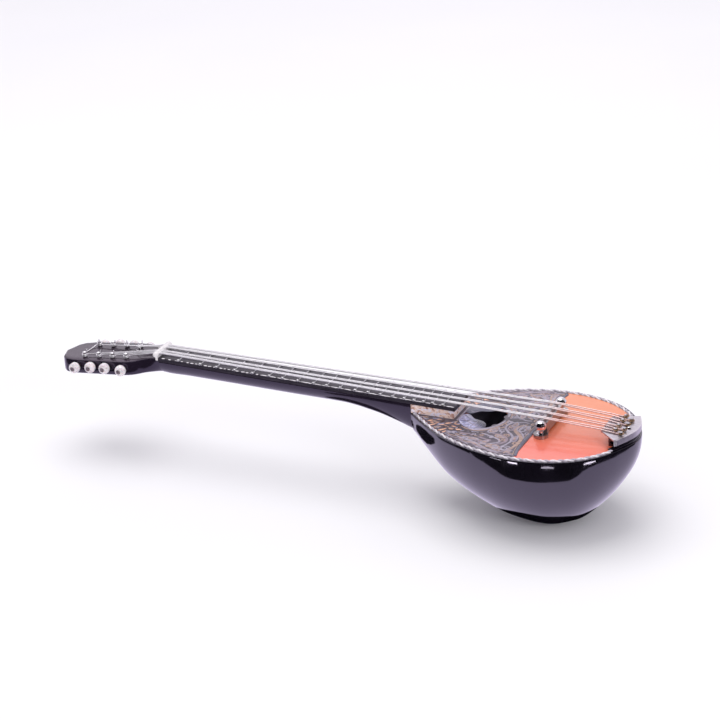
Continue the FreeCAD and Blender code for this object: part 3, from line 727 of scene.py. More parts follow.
def make_neck():
    dep_f = monotone(NECK, False)
    sh = catmull([(-p[0], p[1]) for p in HEAD_OUT[:7]], 10)

    def head_w(x):
        if x > -128.0:
            for a, b in zip(sh, sh[1:]):
                if a[0] <= -x <= b[0]:
                    return a[1] + (b[1] - a[1]) * (-x - a[0]) / (b[0] - a[0])
            return sh[0][1]
        for a, b in zip(HEAD_OUT[6:], HEAD_OUT[7:]):
            if b[0] <= x <= a[0]:
                return a[1] + (b[1] - a[1]) * (x - a[0]) / (b[0] - a[0])
        return 0.0
    xs = [0.0, -0.5, -1.5] + [-3.0 - 1.5 * k for k in range(67)] + [-103.6, -104.0, -104.18]
    xs += [-104.3, -104.9] + [-105.6 - 0.6 * k for k in range(38)]
    xs += [-129.5, -132.0, -135.0, -138.0, -139.2, -139.4, -141.0, -142.5, -143.4, -143.7, -144.6, -145.4, -145.7, -146.4, -147.1, -147.55]
    xs = sorted(set(xs), reverse=True)
    rings = []
    for x in xs:
        k = smooth(-104.2, -114.5, x)          # 0 in the neck, 1 in the head
        head = x < -104.2
        if head:
            w, top = head_w(x), head_top(x)
        else:
            w, top = fb_hw(x) - 0.12, fb_top(x) - FB_T
            # the shoulders begin a little before the nut
            w = max(w, 4.75)
        neck_bot = fb_top(x) - 2.0 - dep_f(max(x, -110.0))
        head_bot = head_top(x) - HEAD_T
        kb = smooth(-99.0, -113.5, x)
        bot = neck_bot * (1 - kb) + head_bot * kb
        e = 2 / (1.72 + 7.6 * k)
        r = 0.22 if head else 0.05
        w = max(w, 0.05)
        ring = []
        n = 36
        for i in range(n + 1):
            a = math.pi * i / n
            c, s = math.cos(a), math.sin(a)
            y = w * math.copysign(abs(c) ** e, c)
            z = (top - r) - (top - r - bot) * s ** e
            ring.append((x, y, z))
        # rounded upper edges and a flat top
        inner = max(w - r, 0.01)
        ring += [(x, -(w - 0.3 * min(r, w)), top - 0.3 * r), (x, -inner, top)]
        ring += [(x, -inner + 2 * inner * j / 6.0, top) for j in range(1, 6)]
        ring += [(x, inner, top), (x, w - 0.3 * min(r, w), top - 0.3 * r)]
        rings.append(ring)
    B = Build()
    B.rings(rings)
    # faces that point up on the head get the lighter top material, a painted sheen
    top = []
    for q in B.f:
        a, b, c = (Vector(B.v[q[i]]) for i in (0, len(q) // 3, 2 * len(q) // 3))
        nrm = (b - a).cross(c - a)
        mid = sum(B.v[i][0] for i in q) / len(q)
        top.append(1 if nrm.length > 1e-9 and abs(nrm.normalized().z) > 0.985 and mid < -105.5 and B.v[q[0]][2] > head_top(mid) - 0.5 else 0)
    make("neck_and_head", B.v, B.f, [neck_lacquer(), head_top_grain_and_sheen()], replaces=("neck",), angle=32, face_mats=top)


# --------------------------------------------------------------- rope border
def make_rope():
    pts = offset_outline(LIP + PURF_W / 2, 260)
    far = [p for p in pts if p[0] > -0.02]
    # start at the far side of the joint, run over the tail to the near side
    k = [i for i in range(len(pts)) if pts[i][0] > 0.0 and pts[i - 1][0] <= 0.0][0]
    pts = pts[k:] + pts[:k]
    pts = [p for p in pts if p[0] > 0.05]
    # resample evenly
    s = [0.0]
    for a, b in zip(pts, pts[1:]):
        s.append(s[-1] + math.hypot(b[0] - a[0], b[1] - a[1]))
    total, step = s[-1], 0.22
    n = int(total / step)
    path, j = [], 0
    for i in range(n + 1):
        d = total * i / n
        while j < len(s) - 2 and s[j + 1] < d:
            j += 1
        t = (d - s[j]) / (s[j + 1] - s[j])
        path.append((pts[j][0] + (pts[j + 1][0] - pts[j][0]) * t, pts[j][1] + (pts[j + 1][1] - pts[j][1]) * t, d))
    # the cord stops at each side of the tailpiece
    keep = [p for p in path if not (p[0] > 72.0 and -12.6 < p[1] < 9.2)]
    cut = next(i for i in range(1, len(keep)) if keep[i][2] - keep[i - 1][2] > 2 * step)
    B = Build()
    pitch, R, r = 4.6, 0.25, 0.37
    for strand in range(2):
        for part in (keep[:cut], keep[cut:]):
            line = []
            for i, (x, y, d) in enumerate(part):
                a, b = part[max(i - 1, 0)], part[min(i + 1, len(part) - 1)]
                tx, ty = b[0] - a[0], b[1] - a[1]
                L = math.hypot(tx, ty)
                nx_, ny_ = -ty / L, tx / L
                ph = 2 * math.pi * d / pitch + math.pi * strand + 0.25 * math.sin(d * 0.7)
                line.append((x + nx_ * R * math.cos(ph), y + ny_ * R * math.cos(ph), 0.02 + R * math.sin(ph)))
            B.tube(line, r, 9, m=strand)
    # plain black rim where the tailpiece comes down over the edge: the lip is the bowl's own black, and the dark tubes
    # laid over the cord's place are painted shade for the shadowed gap under the flange
    i0 = path.index(keep[cut - 1])
    i1 = path.index(keep[cut])
    rim = path[i0 - 1:i1 + 2]
    B.tube([(x, y, -0.16) for x, y, d in rim], 0.60, 12, m=2)
    for shift in (0.85, 1.7):
        inner = []
        for i, (x, y, d) in enumerate(rim):
            a, b = rim[max(i - 1, 0)], rim[min(i + 1, len(rim) - 1)]
            L = math.hypot(b[0] - a[0], b[1] - a[1])
            inner.append((x + (b[1] - a[1]) / L * shift, y - (b[0] - a[0]) / L * shift, -0.12))
        B.tube(inner[3:-3], 0.55, 12, m=2)
    make("binding_cord", B.v, B.f, [MATS["purfling_rope"], cord_dark(), MATS["black_lacquer"]],
         replaces=("purfling",), face_mats=B.m, angle=80)


def cord_dark():
    M = Mat("binding_cord_grey")
    n = M.noise(M.coords(), 1800.0, 4.0, 0.6)
    M.link(M.ramp(n, [(0.25, (0.30, 0.27, 0.32)), (0.6, (0.52, 0.48, 0.55))]), M.b.inputs["Base Color"])
    M.link(M.rng(n, 0.3, 0.7, 0.3, 0.45), M.b.inputs["Roughness"])
    M.bump(n, 0.25, 0.00006)
    return M.m


# ---------------------------------------------------------- small materials
def tinted(name, lo, hi, rough=0.34, scale=900.0, coat=0.15, bump=0.12, spread=(0.3, 0.7)):
    M = Mat(name)
    v = M.coords()
    n = M.noise(v, scale, 4.0, 0.6, 0.6)
    M.link(M.ramp(n, [(spread[0], lo), (spread[1], hi)]), M.b.inputs["Base Color"])
    M.link(M.rng(n, 0.3, 0.7, rough - 0.06, rough + 0.08), M.b.inputs["Roughness"])
    M.set(Coat_Weight=coat, Coat_Roughness=0.1)
    M.bump(n, bump, 0.00006)
    return M.m


def hole_wing_painted_light():
    """Painted light for the bowl's inside lit through the hole: bright marbled lavender at the neck side, running out
    into painted shade, dark purple, at the bridge side.
    """
    M = Mat("hole_wing_painted_light_and_shade")
    v = M.coords()
    n = M.noise(v, 620.0, 5.0, 0.65, 1.4)
    c = M.ramp(n, [(0.3, (0.16, 0.15, 0.30)), (0.5, (0.42, 0.41, 0.62)), (0.72, (0.74, 0.73, 0.90))])
    sep = M.node("ShaderNodeSeparateXYZ")
    M.link(v, sep.inputs["Vector"])
    # distance along the direction from the neck-side edge to the bridge-side edge, ragged by the noise; it sets where
    # the painted light turns into painted shade
    d = M.math("ADD", sep.outputs["X"], M.math("MULTIPLY", sep.outputs["Y"], 0.8))
    d = M.math("ADD", d, M.math("MULTIPLY", n, 0.007))
    f = M.rng(d, -0.0322, -0.0284, 0.0, 1.0)
    # painted shade: dark purple over the bridge-side part of the wing, next to the painted light of the lit patch
    M.link(M.mix(f, c, (0.030, 0.024, 0.050)), M.b.inputs["Base Color"])
    M.link(M.rng(n, 0.3, 0.7, 0.14, 0.3), M.b.inputs["Roughness"])
    M.set(Coat_Weight=0.3, Coat_Roughness=0.1)
    M.bump(n, 0.15, 0.00008)
    return M.m


ORN = [tinted("inlay_silver", (0.21, 0.185, 0.24), (0.44, 0.39, 0.48)),
       tinted("inlay_tan", (0.24, 0.145, 0.12), (0.50, 0.345, 0.29)),
       tinted("inlay_rose", (0.18, 0.13, 0.17), (0.36, 0.28, 0.34)),
       tinted("inlay_brown", (0.030, 0.015, 0.018), (0.09, 0.045, 0.04)),
       tinted("inlay_pearl", (0.20, 0.19, 0.32), (0.52, 0.50, 0.66), 0.2, 620.0),
       tinted("inlay_slate", (0.075, 0.072, 0.11), (0.15, 0.145, 0.21)),
       tinted("inlay_orange", (0.62, 0.27, 0.15), (0.92, 0.58, 0.42)),
       hole_wing_painted_light()]
SILVER, TAN, ROSE, BROWN, PEARL, SLATE, ORANGE, HOLE_WING_PAINT = range(8)


# ------------------------------------------------------------- guard ornament
def spiral(cx, cy, r, a0, turns, sgn=1, n=26, inner=0.12):
    pts = []
    for i in range(n + 1):
        t = i / n
        rr = r * (1 - t) + r * inner * t
        a = a0 + sgn * 2 * math.pi * turns * t
        pts.append((cx + rr * math.cos(a), cy + rr * math.sin(a)))
    return pts


def teardrop(cx, cy, length, width, ang, bend, k=1.0, n=30):
    """Paisley outline: round at one end, curled to a point at the other."""
    pts = []
    for i in range(n):
        a = 2 * math.pi * i / n
        u = -math.cos(a)
        w = math.sin(a) * (1 - 0.62 * (u * 0.5 + 0.5) ** 1.3)
        lx, ly = u * length / 2 * k, w * width / 2 * k
        ly += bend * (max(u, -0.3) + 0.3) ** 2 * k
        c, s = math.cos(ang), math.sin(ang)
        pts.append((cx + lx * c - ly * s, cy + lx * s + ly * c))
    return pts


def in_guard(x, y, margin=0.5):
    """True where the guard sheet lies, clear of its rim, the hole and the fretboard."""
    if x < 0.6 or x > GUARD_END - margin:
        return False
    if abs(y) > max(w_out(x) - 2.3 - margin, 0):
        return False
    if x < FB_END + 0.6 and abs(y) < fb_hw(x) + 0.25:
        return False
    hx, hy = (x - HOLE_X) / (HOLE_A + margin), y / (HOLE_B + margin)
    if hx * hx + hy * hy < 1.0:
        return False
    for sy in (-1, 1):
        if math.hypot(x - 20.6, y - sy * 7.0) < 4.3 + margin * 0.4 and x < 24:
            pass
    return True


def clip_runs(pts, widths, margin=0.3):
    runs, cur, cw = [], [], []
    for p, w in zip(pts, widths):
        if in_guard(p[0], p[1], margin):
            cur.append(p)
            cw.append(w)
        else:
            if len(cur) > 3:
                runs.append((cur, cw))
            cur, cw = [], []
    if len(cur) > 3:
        runs.append((cur, cw))
    return runs


def make_ornament():
    rnd = random.Random(11)
    B = Build()

    def stroke(pts, w0, mat, h=0.07, taper=True, closed=False, z0=GUARD_T):
        n = len(pts)
        ws = [w0 * ((0.35 + 0.65 * math.sin(math.pi * min(max(i / (n - 1), 0.0), 1.0)) ** 0.6) if taper else 1.0)
              for i in range(n)]
        for p, w in clip_runs(pts, [1.45 * q for q in ws]):
            B.ribbon(p, w, z0=z0, h=h * rnd.uniform(0.8, 1.25), m=mat)

    def both(fn):
        for sy in (-1, 1):
            fn(lambda pts: [(x, y if sy < 0 else -y) for x, y in pts], sy)

    def paisley(cx, cy, L, W, ang, bend, mats, mir, w=0.42):
        for k, m in zip((1.0, 0.66, 0.34), mats):
            pts = mir(teardrop(cx, cy, L, W, ang, bend, k))
            pts = pts + pts[:1]
            pts = catmull(pts, 2)
            stroke(pts, w * (0.75 + 0.25 * k), m, taper=False)

    def side(mir, sy):
        # main stems
        stroke(mir(catmull([(43.6, -2.2), (41.2, -4.6), (41.0, -8.0), (43.6, -11.0), (45.4, -14.4), (45.0, -20.0), (43.4, -26.0)], 8)), 0.95, TAN)
        stroke(mir(catmull([(44.9, -2.6), (42.5, -5.0), (42.4, -7.6), (44.6, -10.4), (46.2, -13.4)], 8)), 0.5, SILVER)
        stroke(mir(catmull([(40.0, -1.2), (37.2, -3.6), (36.8, -6.6), (38.8, -9.6), (41.2, -12.0), (42.6, -15.6), (41.4, -20.4), (38.4, -24.2)], 8)), 0.62, SILVER)
        stroke(mir(catmull([(34.2, -12.6), (37.0, -12.6), (40.0, -14.6), (40.8, -17.4), (38.8, -20.2), (35.6, -22.6)], 8)), 0.7, ROSE)
        stroke(mir(catmull([(27.0, -13.2), (30.6, -13.4), (34.2, -14.8), (37.6, -16.2), (38.8, -18.2), (36.6, -20.2), (33.0, -21.6)], 8)), 0.55, SILVER)
        stroke(mir(catmull([(22.0, -15.0), (25.6, -15.4), (29.6, -16.2), (33.0, -17.4), (35.4, -17.8)], 8)), 0.62, ROSE)
        stroke(mir(catmull([(22.6, -17.4), (26.8, -17.6), (30.8, -18.6), (34.6, -19.8), (32.4, -21.8), (28.6, -21.6)], 8)), 0.5, TAN)
        stroke(mir(catmull([(25.2, -19.8), (29.4, -20.4), (33.2, -22.6), (37.0, -24.8), (41.0, -25.8)], 8)), 0.6, SILVER)
        stroke(mir(catmull([(30.6, -22.8), (34.8, -24.0), (39.0, -26.2), (43.0, -26.6)], 8)), 0.5, ROSE)
        # curled branches
        for cx, cy, r, a0, t, sg, m, w in (
                (43.0, -6.6, 2.1, 2.2, 1.35, 1, SILVER, 0.5), (39.2, -6.6, 1.7, -0.6, 1.3, -1, ROSE, 0.45),
                (44.6, -17.4, 1.6, 1.2, 1.3, -1, TAN, 0.45), (42.6, -22.4, 2.0, 0.5, 1.4, 1, SILVER, 0.5),
                (39.4, -16.2, 1.3, 2.8, 1.25, 1, TAN, 0.42), (36.8, -9.6, 1.5, 0.4, 1.3, 1, SILVER, 0.45),
                (34.6, -15.4, 1.2, 3.3, 1.2, -1, SILVER, 0.4), (31.2, -15.0, 1.0, 0.8, 1.2, 1, TAN, 0.38),
                (36.2, -22.0, 1.5, 2.4, 1.3, -1, TAN, 0.45), (31.0, -20.0, 1.2, 4.0, 1.2, 1, ROSE, 0.4),
                (39.2, -12.6, 1.4, 5.0, 1.3, 1, TAN, 0.42), (45.4, -9.0, 1.2, 3.6, 1.2, 1, SILVER, 0.4),
                (28.0, -15.2, 0.9, 1.5, 1.2, -1, SILVER, 0.36), (26.0, -18.6, 1.1, 0.0, 1.2, 1, SILVER, 0.38),
                (40.2, -24.6, 1.3, 5.4, 1.2, 1, ROSE, 0.42)):
            stroke(mir(spiral(cx, cy, r, a0, t, sg)), w, m)
        for cx, cy, L, W, ang, bend, ms in (
                (34.0, -10.0, 5.2, 3.0, 0.9, 0.7, (SILVER, TAN, SILVER)),
                (37.6, -14.2, 4.2, 2.4, -0.5, 0.6, (TAN, SILVER, TAN)),
                (42.8, -14.2, 4.6, 2.6, 1.8, -0.7, (SILVER, ROSE, TAN)),
                (38.4, -21.8, 5.0, 2.6, 2.6, 0.7, (TAN, SILVER, SILVER)),
                (29.2, -18.4, 4.4, 2.2, 0.2, -0.5, (SILVER, TAN, ROSE)),
                (34.0, -19.6, 4.2, 2.4, 0.5, 0.6, (ROSE, SILVER, TAN)),
                (44.4, -23.4, 3.8, 2.0, 1.5, 0.4, (ROSE, TAN, SILVER)),
                (24.4, -16.6, 3.4, 1.8, 0.1, 0.4, (TAN, SILVER, TAN)),
                (39.6, -3.4, 3.8, 2.2, 1.3, 0.5, (SILVER, TAN, ROSE)),
                (44.6, -4.8, 3.2, 1.8, 2.0, -0.4, (TAN, SILVER, SILVER))):
            paisley(cx, cy, L, W, ang, bend, ms, mir, 0.4)
        for pts, w, m in (([(35.6, -0.8), (37.6, -2.0), (39.8, -1.6), (41.8, -0.8), (43.8, -1.2)], 0.5, SILVER),
                          ([(35.4, -3.4), (36.6, -4.8), (36.2, -6.6), (35.0, -7.8)], 0.5, TAN),
                          ([(38.8, -3.8), (40.2, -5.4), (40.0, -7.4), (38.6, -8.6)], 0.45, ROSE),
                          ([(41.8, -2.6), (43.6, -3.6), (45.2, -3.0)], 0.45, SILVER),
                          ([(35.2, -9.0), (36.8, -10.4), (37.0, -12.2)], 0.42, SILVER)):
            stroke(mir(catmull(pts, 8)), w, m)
        for cx, cy, r, a0, t, sg, m, w in ((36.8, -2.4, 1.2, 0.4, 1.3, 1, SILVER, 0.4), (42.6, -4.2, 1.2, 2.6, 1.3, -1, SILVER, 0.4),
                                           (38.2, -5.4, 1.1, 4.4, 1.3, 1, TAN, 0.38), (45.0, -6.6, 1.0, 1.2, 1.2, -1, ROSE, 0.36),
                                           (36.0, -5.4, 0.9, 3.0, 1.2, 1, ROSE, 0.34), (45.2, -1.6, 1.0, 0.0, 1.2, 1, TAN, 0.36)):
            stroke(mir(spiral(cx, cy, r, a0, t, sg)), w, m)
        # fine filler lines following the sweep of the rim
        for k in range(16):
            off = 2.9 + 0.95 * (k % 4) + rnd.uniform(-0.2, 0.2)
            x0 = 18.0 + 7.0 * (k // 4) + rnd.uniform(-1.5, 1.5)
            pts = []
            for j in range(15):
                x = x0 + j * 0.62
                pts.append((x, -(w_out(x) - off - 0.5 * math.sin(j * 0.55 + k * 1.7))))
            stroke(mir(pts), rnd.uniform(0.28, 0.46), (SILVER, ROSE, TAN, SILVER)[k % 4])
        # plume fronds spreading from a point at the foot of the bridge side
        for k in range(9):
            a = 1.95 + 0.21 * k
            L = 8.6 - 0.30 * abs(k - 4)
            pts = [(45.4 + L * t * math.cos(a + 0.35 * t * (k - 4) / 4.0), (17.4 + L * t * math.sin(a + 0.35 * t * (k - 4) / 4.0)))
                   for t in [i / 12.0 for i in range(1, 13)]]
            if sy > 0:
                stroke(pts, 0.62, (SILVER, TAN, ROSE)[k % 3])
        # leaves beside the fretboard
        for k in range(46):
            x = rnd.uniform(1.4, 21.5)
            y = -rnd.uniform(fb_hw(x) + 0.8, max(w_out(x) - 3.2, fb_hw(x) + 0.9))
            L, W = rnd.uniform(1.5, 2.7), rnd.uniform(0.6, 1.05)
            out = mir(teardrop(x, y, L, W, rnd.uniform(-0.4, 1.1), rnd.uniform(-0.3, 0.3), 1.0, 16))
            if all(in_guard(px, py, -0.1) for px, py in out):
                B.plate(out if sy < 0 else out[::-1], z0=GUARD_T - 0.03, h=rnd.uniform(0.05, 0.10), m=rnd.choice((ORANGE, TAN, PEARL, BROWN, ORANGE, SILVER)))
        leaves = [(2.6, -7.4, 0.9, ORANGE), (4.6, -8.6, 0.5, BROWN), (6.4, -9.2, 0.2, PEARL), (8.4, -8.0, 1.2, ORANGE),
                  (8.8, -10.9, 0.4, BROWN), (11.0, -9.4, 0.1, TAN), (11.2, -12.2, 0.6, ORANGE), (13.6, -8.2, 1.5, BROWN),
                  (13.8, -10.8, 0.3, PEARL), (13.6, -13.6, 0.7, TAN), (16.2, -9.4, 0.9, ORANGE), (16.4, -12.2, 0.2, BROWN),
                  (16.2, -14.8, 0.5, ORANGE), (18.8, -13.2, 0.1, TAN), (19.6, -16.2, 0.5, SILVER), (6.4, -7.2, 0.0, TAN),
                  (10.4, -7.4, -0.2, PEARL), (3.4, -6.9, 0.3, PEARL), (18.4, -7.6, 1.2, TAN), (16.8, -7.4, 0.3, SILVER),
                  (21.6, -13.2, 0.2, ORANGE), (5.4, -10.2, 0.8, TAN), (9.8, -13.0, 0.8, SILVER), (14.6, -16.0, 0.6, PEARL),
                  (12.2, -14.9, 0.7, BROWN), (18.0, -17.6, 0.5, TAN), (7.6, -11.8, 0.8, PEARL)]
        for x, y, ang, m in leaves:
            L, W = rnd.uniform(2.2, 3.1), rnd.uniform(0.9, 1.35)
            out = mir(teardrop(x, y, L, W, ang + rnd.uniform(-0.3, 0.3), rnd.uniform(-0.3, 0.3), 1.0, 20))
            if all(in_guard(px, py, -0.1) for px, py in out):
                B.plate(out if sy < 0 else out[::-1], h=rnd.uniform(0.06, 0.11), m=m)
        # dark leaf group with pale spots below the hole
        for x, y, L, W, ang, m in ((23.4, -14.0, 4.0, 1.5, 0.15, BROWN), (27.2, -13.6, 3.6, 1.3, -0.35, BROWN),
                                   (20.6, -12.4, 3.2, 1.4, 0.9, BROWN), (25.4, -16.6, 4.4, 1.3, 0.3, BROWN),
                                   (30.4, -13.0, 2.8, 1.1, 0.4, BROWN), (29.4, -16.4, 3.0, 1.2, -0.2, BROWN),
                                   (22.4, -16.8, 2.6, 1.1, 0.5, BROWN)):
            out = mir(teardrop(x, y, L, W, ang, 0.3, 1.0, 24))
            if all(in_guard(px, py, -0.2) for px, py in out):
                B.plate(out if sy < 0 else out[::-1], h=0.09, m=m)
                o2 = mir(teardrop(x - 0.1, y, L * 0.42, W * 0.42, ang, 0.1, 1.0, 14))
                B.plate(o2 if sy < 0 else o2[::-1], z0=GUARD_T + 0.07, h=0.07, m=PEARL if L > 3 else TAN, inset=0.06)
        # pearly ring round the lower edge of the hole
        ring = [(HOLE_X + (HOLE_A + 0.75) * math.cos(a), (HOLE_B + 0.75) * math.sin(a))
                for a in [math.radians(-8 - 3.2 * k) for k in range(34)]]
        stroke(mir(ring), 0.85, SILVER, h=0.12)
        ring = [(HOLE_X + (HOLE_A + 1.7) * math.cos(a), (HOLE_B + 1.7) * math.sin(a))
                for a in [math.radians(-4 - 3.0 * k) for k in range(40)]]
        stroke(mir(ring), 0.5, TAN, h=0.08)
        # wing plate over the neck-side edge of the hole; on the near side it carries painted light and painted shade
        # for the lit inside of the bowl
        wing = catmull([(18.7, -5.9), (18.3, -3.0), (19.1, -0.6), (21.1, -0.7), (23.4, -3.1), (25.5, -3.7), (27.7, -4.6),
                        (29.4, -6.8), (29.8, -9.6), (28.1, -11.6), (24.8, -11.4), (20.7, -8.8), (18.7, -5.9)], 5)[:-1]
        out = mir(wing)
        B.plate(out if sy < 0 else out[::-1], z0=GUARD_T - 0.02, h=0.16, m=HOLE_WING_PAINT if sy < 0 else SLATE, inset=0.3)
        for pts, m in (([(19.4, -1.6), (21.6, -3.4), (24.6, -5.4), (28.6, -7.6)], SLATE), ([(19.2, -4.4), (22.4, -6.4), (26.0, -8.6), (28.6, -10.0)], ROSE),
                       ([(20.6, -8.0), (22.0, -6.4), (22.4, -4.4)], SLATE), ([(24.4, -10.6), (25.4, -8.2), (25.6, -5.2)], SILVER),
                       ([(20.0, -2.6), (21.4, -1.8), (23.0, -3.0)], SILVER), ([(22.2, -9.4), (24.0, -8.0), (26.6, -7.2)], SLATE),
                       ([(26.4, -10.9), (27.4, -9.0), (27.6, -6.4)], SLATE), ([(20.0, -6.6), (23.0, -5.6), (26.4, -5.9)], BROWN)):
            q = mir(catmull(pts, 6))
            B.ribbon(q, [0.34] * len(q), z0=GUARD_T + 0.14, h=0.05, m=m)
        # pale piece between the end of the fretboard and the hole
        B.plate(mir([(17.8, -6.2), (17.8, -3.1), (17.8, -0.05), (18.45, -0.05), (18.62, -2.5), (19.35, -5.0), (19.0, -6.3)]) if sy < 0
                else mir([(17.8, -6.2), (17.8, -3.1), (17.8, -0.05), (18.45, -0.05), (18.62, -2.5), (19.35, -5.0), (19.0, -6.3)])[::-1],
                z0=GUARD_T - 0.02, h=0.10, m=SILVER, inset=0.1)
        # border strip at the tail end of the guard
        edge = mir(catmull([(47.15, -0.2), (47.1, -4.0), (46.9, -9.0), (46.7, -14.0), (46.8, -19.0), (47.2, -23.0), (47.9, -26.6)], 8))
        B.ribbon(edge, [1.15] * len(edge), z0=0.05, h=0.30, m=SLATE)
        edge2 = mir(catmull([(46.3, -0.2), (46.2, -4.0), (46.0, -9.0), (45.85, -14.0), (45.95, -19.0), (46.3, -23.0), (46.9, -26.5)], 8))
        B.ribbon(edge2, [0.26] * len(edge2), z0=GUARD_T, h=0.08, m=TAN)

    both(side)
    make("guard_ornament", B.v, B.f, ORN, face_mats=B.m, angle=35)


# -------------------------------------------------- fretboard edging and frets
def make_edging():
    rnd = random.Random(5)
    B = Build()
    for sy in (-1, 1):
        x = -102.6
        while x < FB_END - 0.8:
            if x < -62:
                L, gap, w = rnd.uniform(0.8, 1.6), rnd.uniform(0.3, 1.9), rnd.uniform(0.55, 0.80)
            else:
                L, gap, w = rnd.uniform(2.4, 6.0), rnd.uniform(0.05, 0.5), rnd.uniform(0.52, 0.66)
            x1 = min(x + L, FB_END - 0.3)
            if x1 - x > 0.4:
                n = max(int((x1 - x) / 0.4), 3)
                rings = []
                for i in range(n + 1):
                    xx = x + (x1 - x) * i / n
                    k = math.sin(math.pi * min(max((i + 0.15) / (n + 0.3), 0), 1)) ** 0.35
                    ww, hh = w * k, (0.16 + 0.03 * rnd.random()) * k
                    yo = sy * (fb_hw(xx) - 0.30 + 0.05 * math.sin(xx * 3.1))
                    zt = fb_top(xx)
                    rings.append([(xx, yo + ww / 2 * math.cos(a) * 1.0, zt - 0.02 + max(hh * math.sin(a), -0.03))
                                  for a in [2 * math.pi * q / 10 for q in range(10)]])
                B.rings(rings)
            x = x1 + gap
    make("fretboard_edging", B.v, B.f, tinted("edging_white", (0.74, 0.70, 0.75), (0.95, 0.92, 0.95), 0.3, 1500.0, 0.5),
         angle=50)
    F = Build()
    for i, x in enumerate(FRET_X):
        hw = fb_hw(x) - 0.32
        pts = [(x + 0.04 * math.sin(y * 2.0 + i), y, fb_top(x) + 0.10 + 0.02 * math.sin(y * 3 + i)) for y in
               [-hw + 2 * hw * k / 24.0 for k in range(25)]]
        F.tube(pts, 0.2, 10)
        for sy in (-1, 1):
            # soldered drop at each end of the wire
            F.lathe((x, sy * (hw - 0.15), fb_top(x) - 0.05), (0, 0, 1),
                    [(0.0, 0.6), (0.12, 0.76), (0.34, 0.74), (0.52, 0.58), (0.66, 0.34), (0.71, 0.06)], 20)
    make("fret_wires", F.v, F.f, MATS["fret_wire"], replaces=("frets",), angle=60)


# -------------------------------------------------------------- post windings
def make_coils():
    L = math.hypot(HEAD_SLOPE, 1.0)
    ax = Vector((-HEAD_SLOPE / L, 0, 1 / L))
    ex = Vector((1, 0, HEAD_SLOPE)).normalized()
    ey = Vector((0, 1, 0))
    rnd = random.Random(3)
    for side, sy in (("near", -1), ("far", 1)):
        for k in range(4):
            base = Vector((POST_X[k], sy * POST_Y, head_top(POST_X[k])))
            turns = 3.1 + 0.3 * rnd.random()
            a0 = math.pi * 0.55 * -sy
            pts = []
            n = int(turns * 16)
            for i in range(n + 1):
                t = i / n
                a = a0 + sy * 2 * math.pi * turns * t
                r = POST_R + WIRE_R + 0.03 + 0.02 * math.sin(a * 0.7)
                pts.append(base + ax * (0.28 + 1.0 * t) + (ex * math.cos(a) + ey * math.sin(a)) * r)
            # cut end of the wire, standing up beside the post
            d = (ex * math.cos(a) + ey * math.sin(a))
            lean = (ex * rnd.uniform(-0.5, 0.3) + ey * sy * rnd.uniform(-0.1, 0.3))
            top = [(0.0, 0.85), (0.25, 0.95), (0.6, 1.0), (1.0, 1.0)]
            last = pts[-1]
            for hgt, q in top:
                pts.append(last + d * (0.12 * q) + ax * (0.25 + hgt * (1.0 + 0.35 * (k % 2))) + lean * hgt * 0.9)
            B = Build()
            B.tube(pts, WIRE_R * 1.1, 8)
            B.lathe(base + ax * (POST_UP - 0.05), ax, [(0.0, 0.5), (0.05, 0.68), (0.20, 0.76), (0.36, 0.68), (0.48, 0.40), (0.52, 0.05)], 20)
            make("coil_%s_%d" % (side, k + 1), B.v, B.f, MATS["string_steel"], body="tuning_post_%s_%d" % (side, k + 1),
                 replaces=("winding_%s_%d" % (side, k + 1),), angle=60)


# ---------------------------------------------------- string ends on the hooks
def make_loops():
    rnd = random.Random(8)
    B = Build()
    k = 0
    for ys, rows in ((HOOK_NEAR, (1, 0)), (HOOK_FAR, (0, 1))):
        for i, y in enumerate(ys):
            hx = HOOK_ROWS[rows[i % 2]]
            z = tp_top(hx) + 0.32
            k += 1
            for q in range(3):
                r1 = rnd.uniform(0.62, 0.95)
                tilt = rnd.uniform(-0.35, 0.35)
                tz = rnd.uniform(-0.2, 0.5)
                ph = rnd.uniform(0, 6.28)
                pts = []
                for j in range(25):
                    a = ph + 2 * math.pi * j / 22.0
                    pts.append((hx + r1 * math.cos(a) + 0.08 * q, y + r1 * 0.85 * math.sin(a),
                                z + 0.16 * q + tilt * 0.35 * math.cos(a) + tz * 0.25 * math.sin(a) + 0.12))
                B.tube(pts, 0.15, 7, m=q % 2)
            # twist running back along the string
            pts = []
            for j in range(40):
                t = j / 39.0
                a = t * 2 * math.pi * 3.5
                pts.append((hx - 0.7 - 2.1 * t, y + 0.22 * math.cos(a), z + 0.16 + 0.35 * t * 0.3 + 0.22 * math.sin(a)))
            B.tube(pts, 0.12, 7, m=1)
            # loose cut end
            e = (rnd.uniform(-0.9, 0.9), rnd.uniform(-1.1, 1.1), rnd.uniform(0.5, 1.2))
            p0 = (hx + 0.5, y + 0.3, z + 0.3)
            B.tube(catmull([p0, (p0[0] + e[0] * 0.5, p0[1] + e[1] * 0.3, p0[2] + e[2] * 0.7),
                            (p0[0] + e[0], p0[1] + e[1], p0[2] + e[2])], 5), 0.12, 7, m=0)
    make("string_end_loops", B.v, B.f, [MATS["brass_wire"], MATS["string_steel"]],
         replaces=("string_loops",), face_mats=B.m, angle=60)


# ------------------------------------------------------------------- strings
BRIDGE_Y, NUT_Y = [6.9, 6.0, 2.6, 1.7], [4.1, 3.3, 2.2, 1.4]
SADDLE_TOP, NUT_TOP = 5.85, 9.49


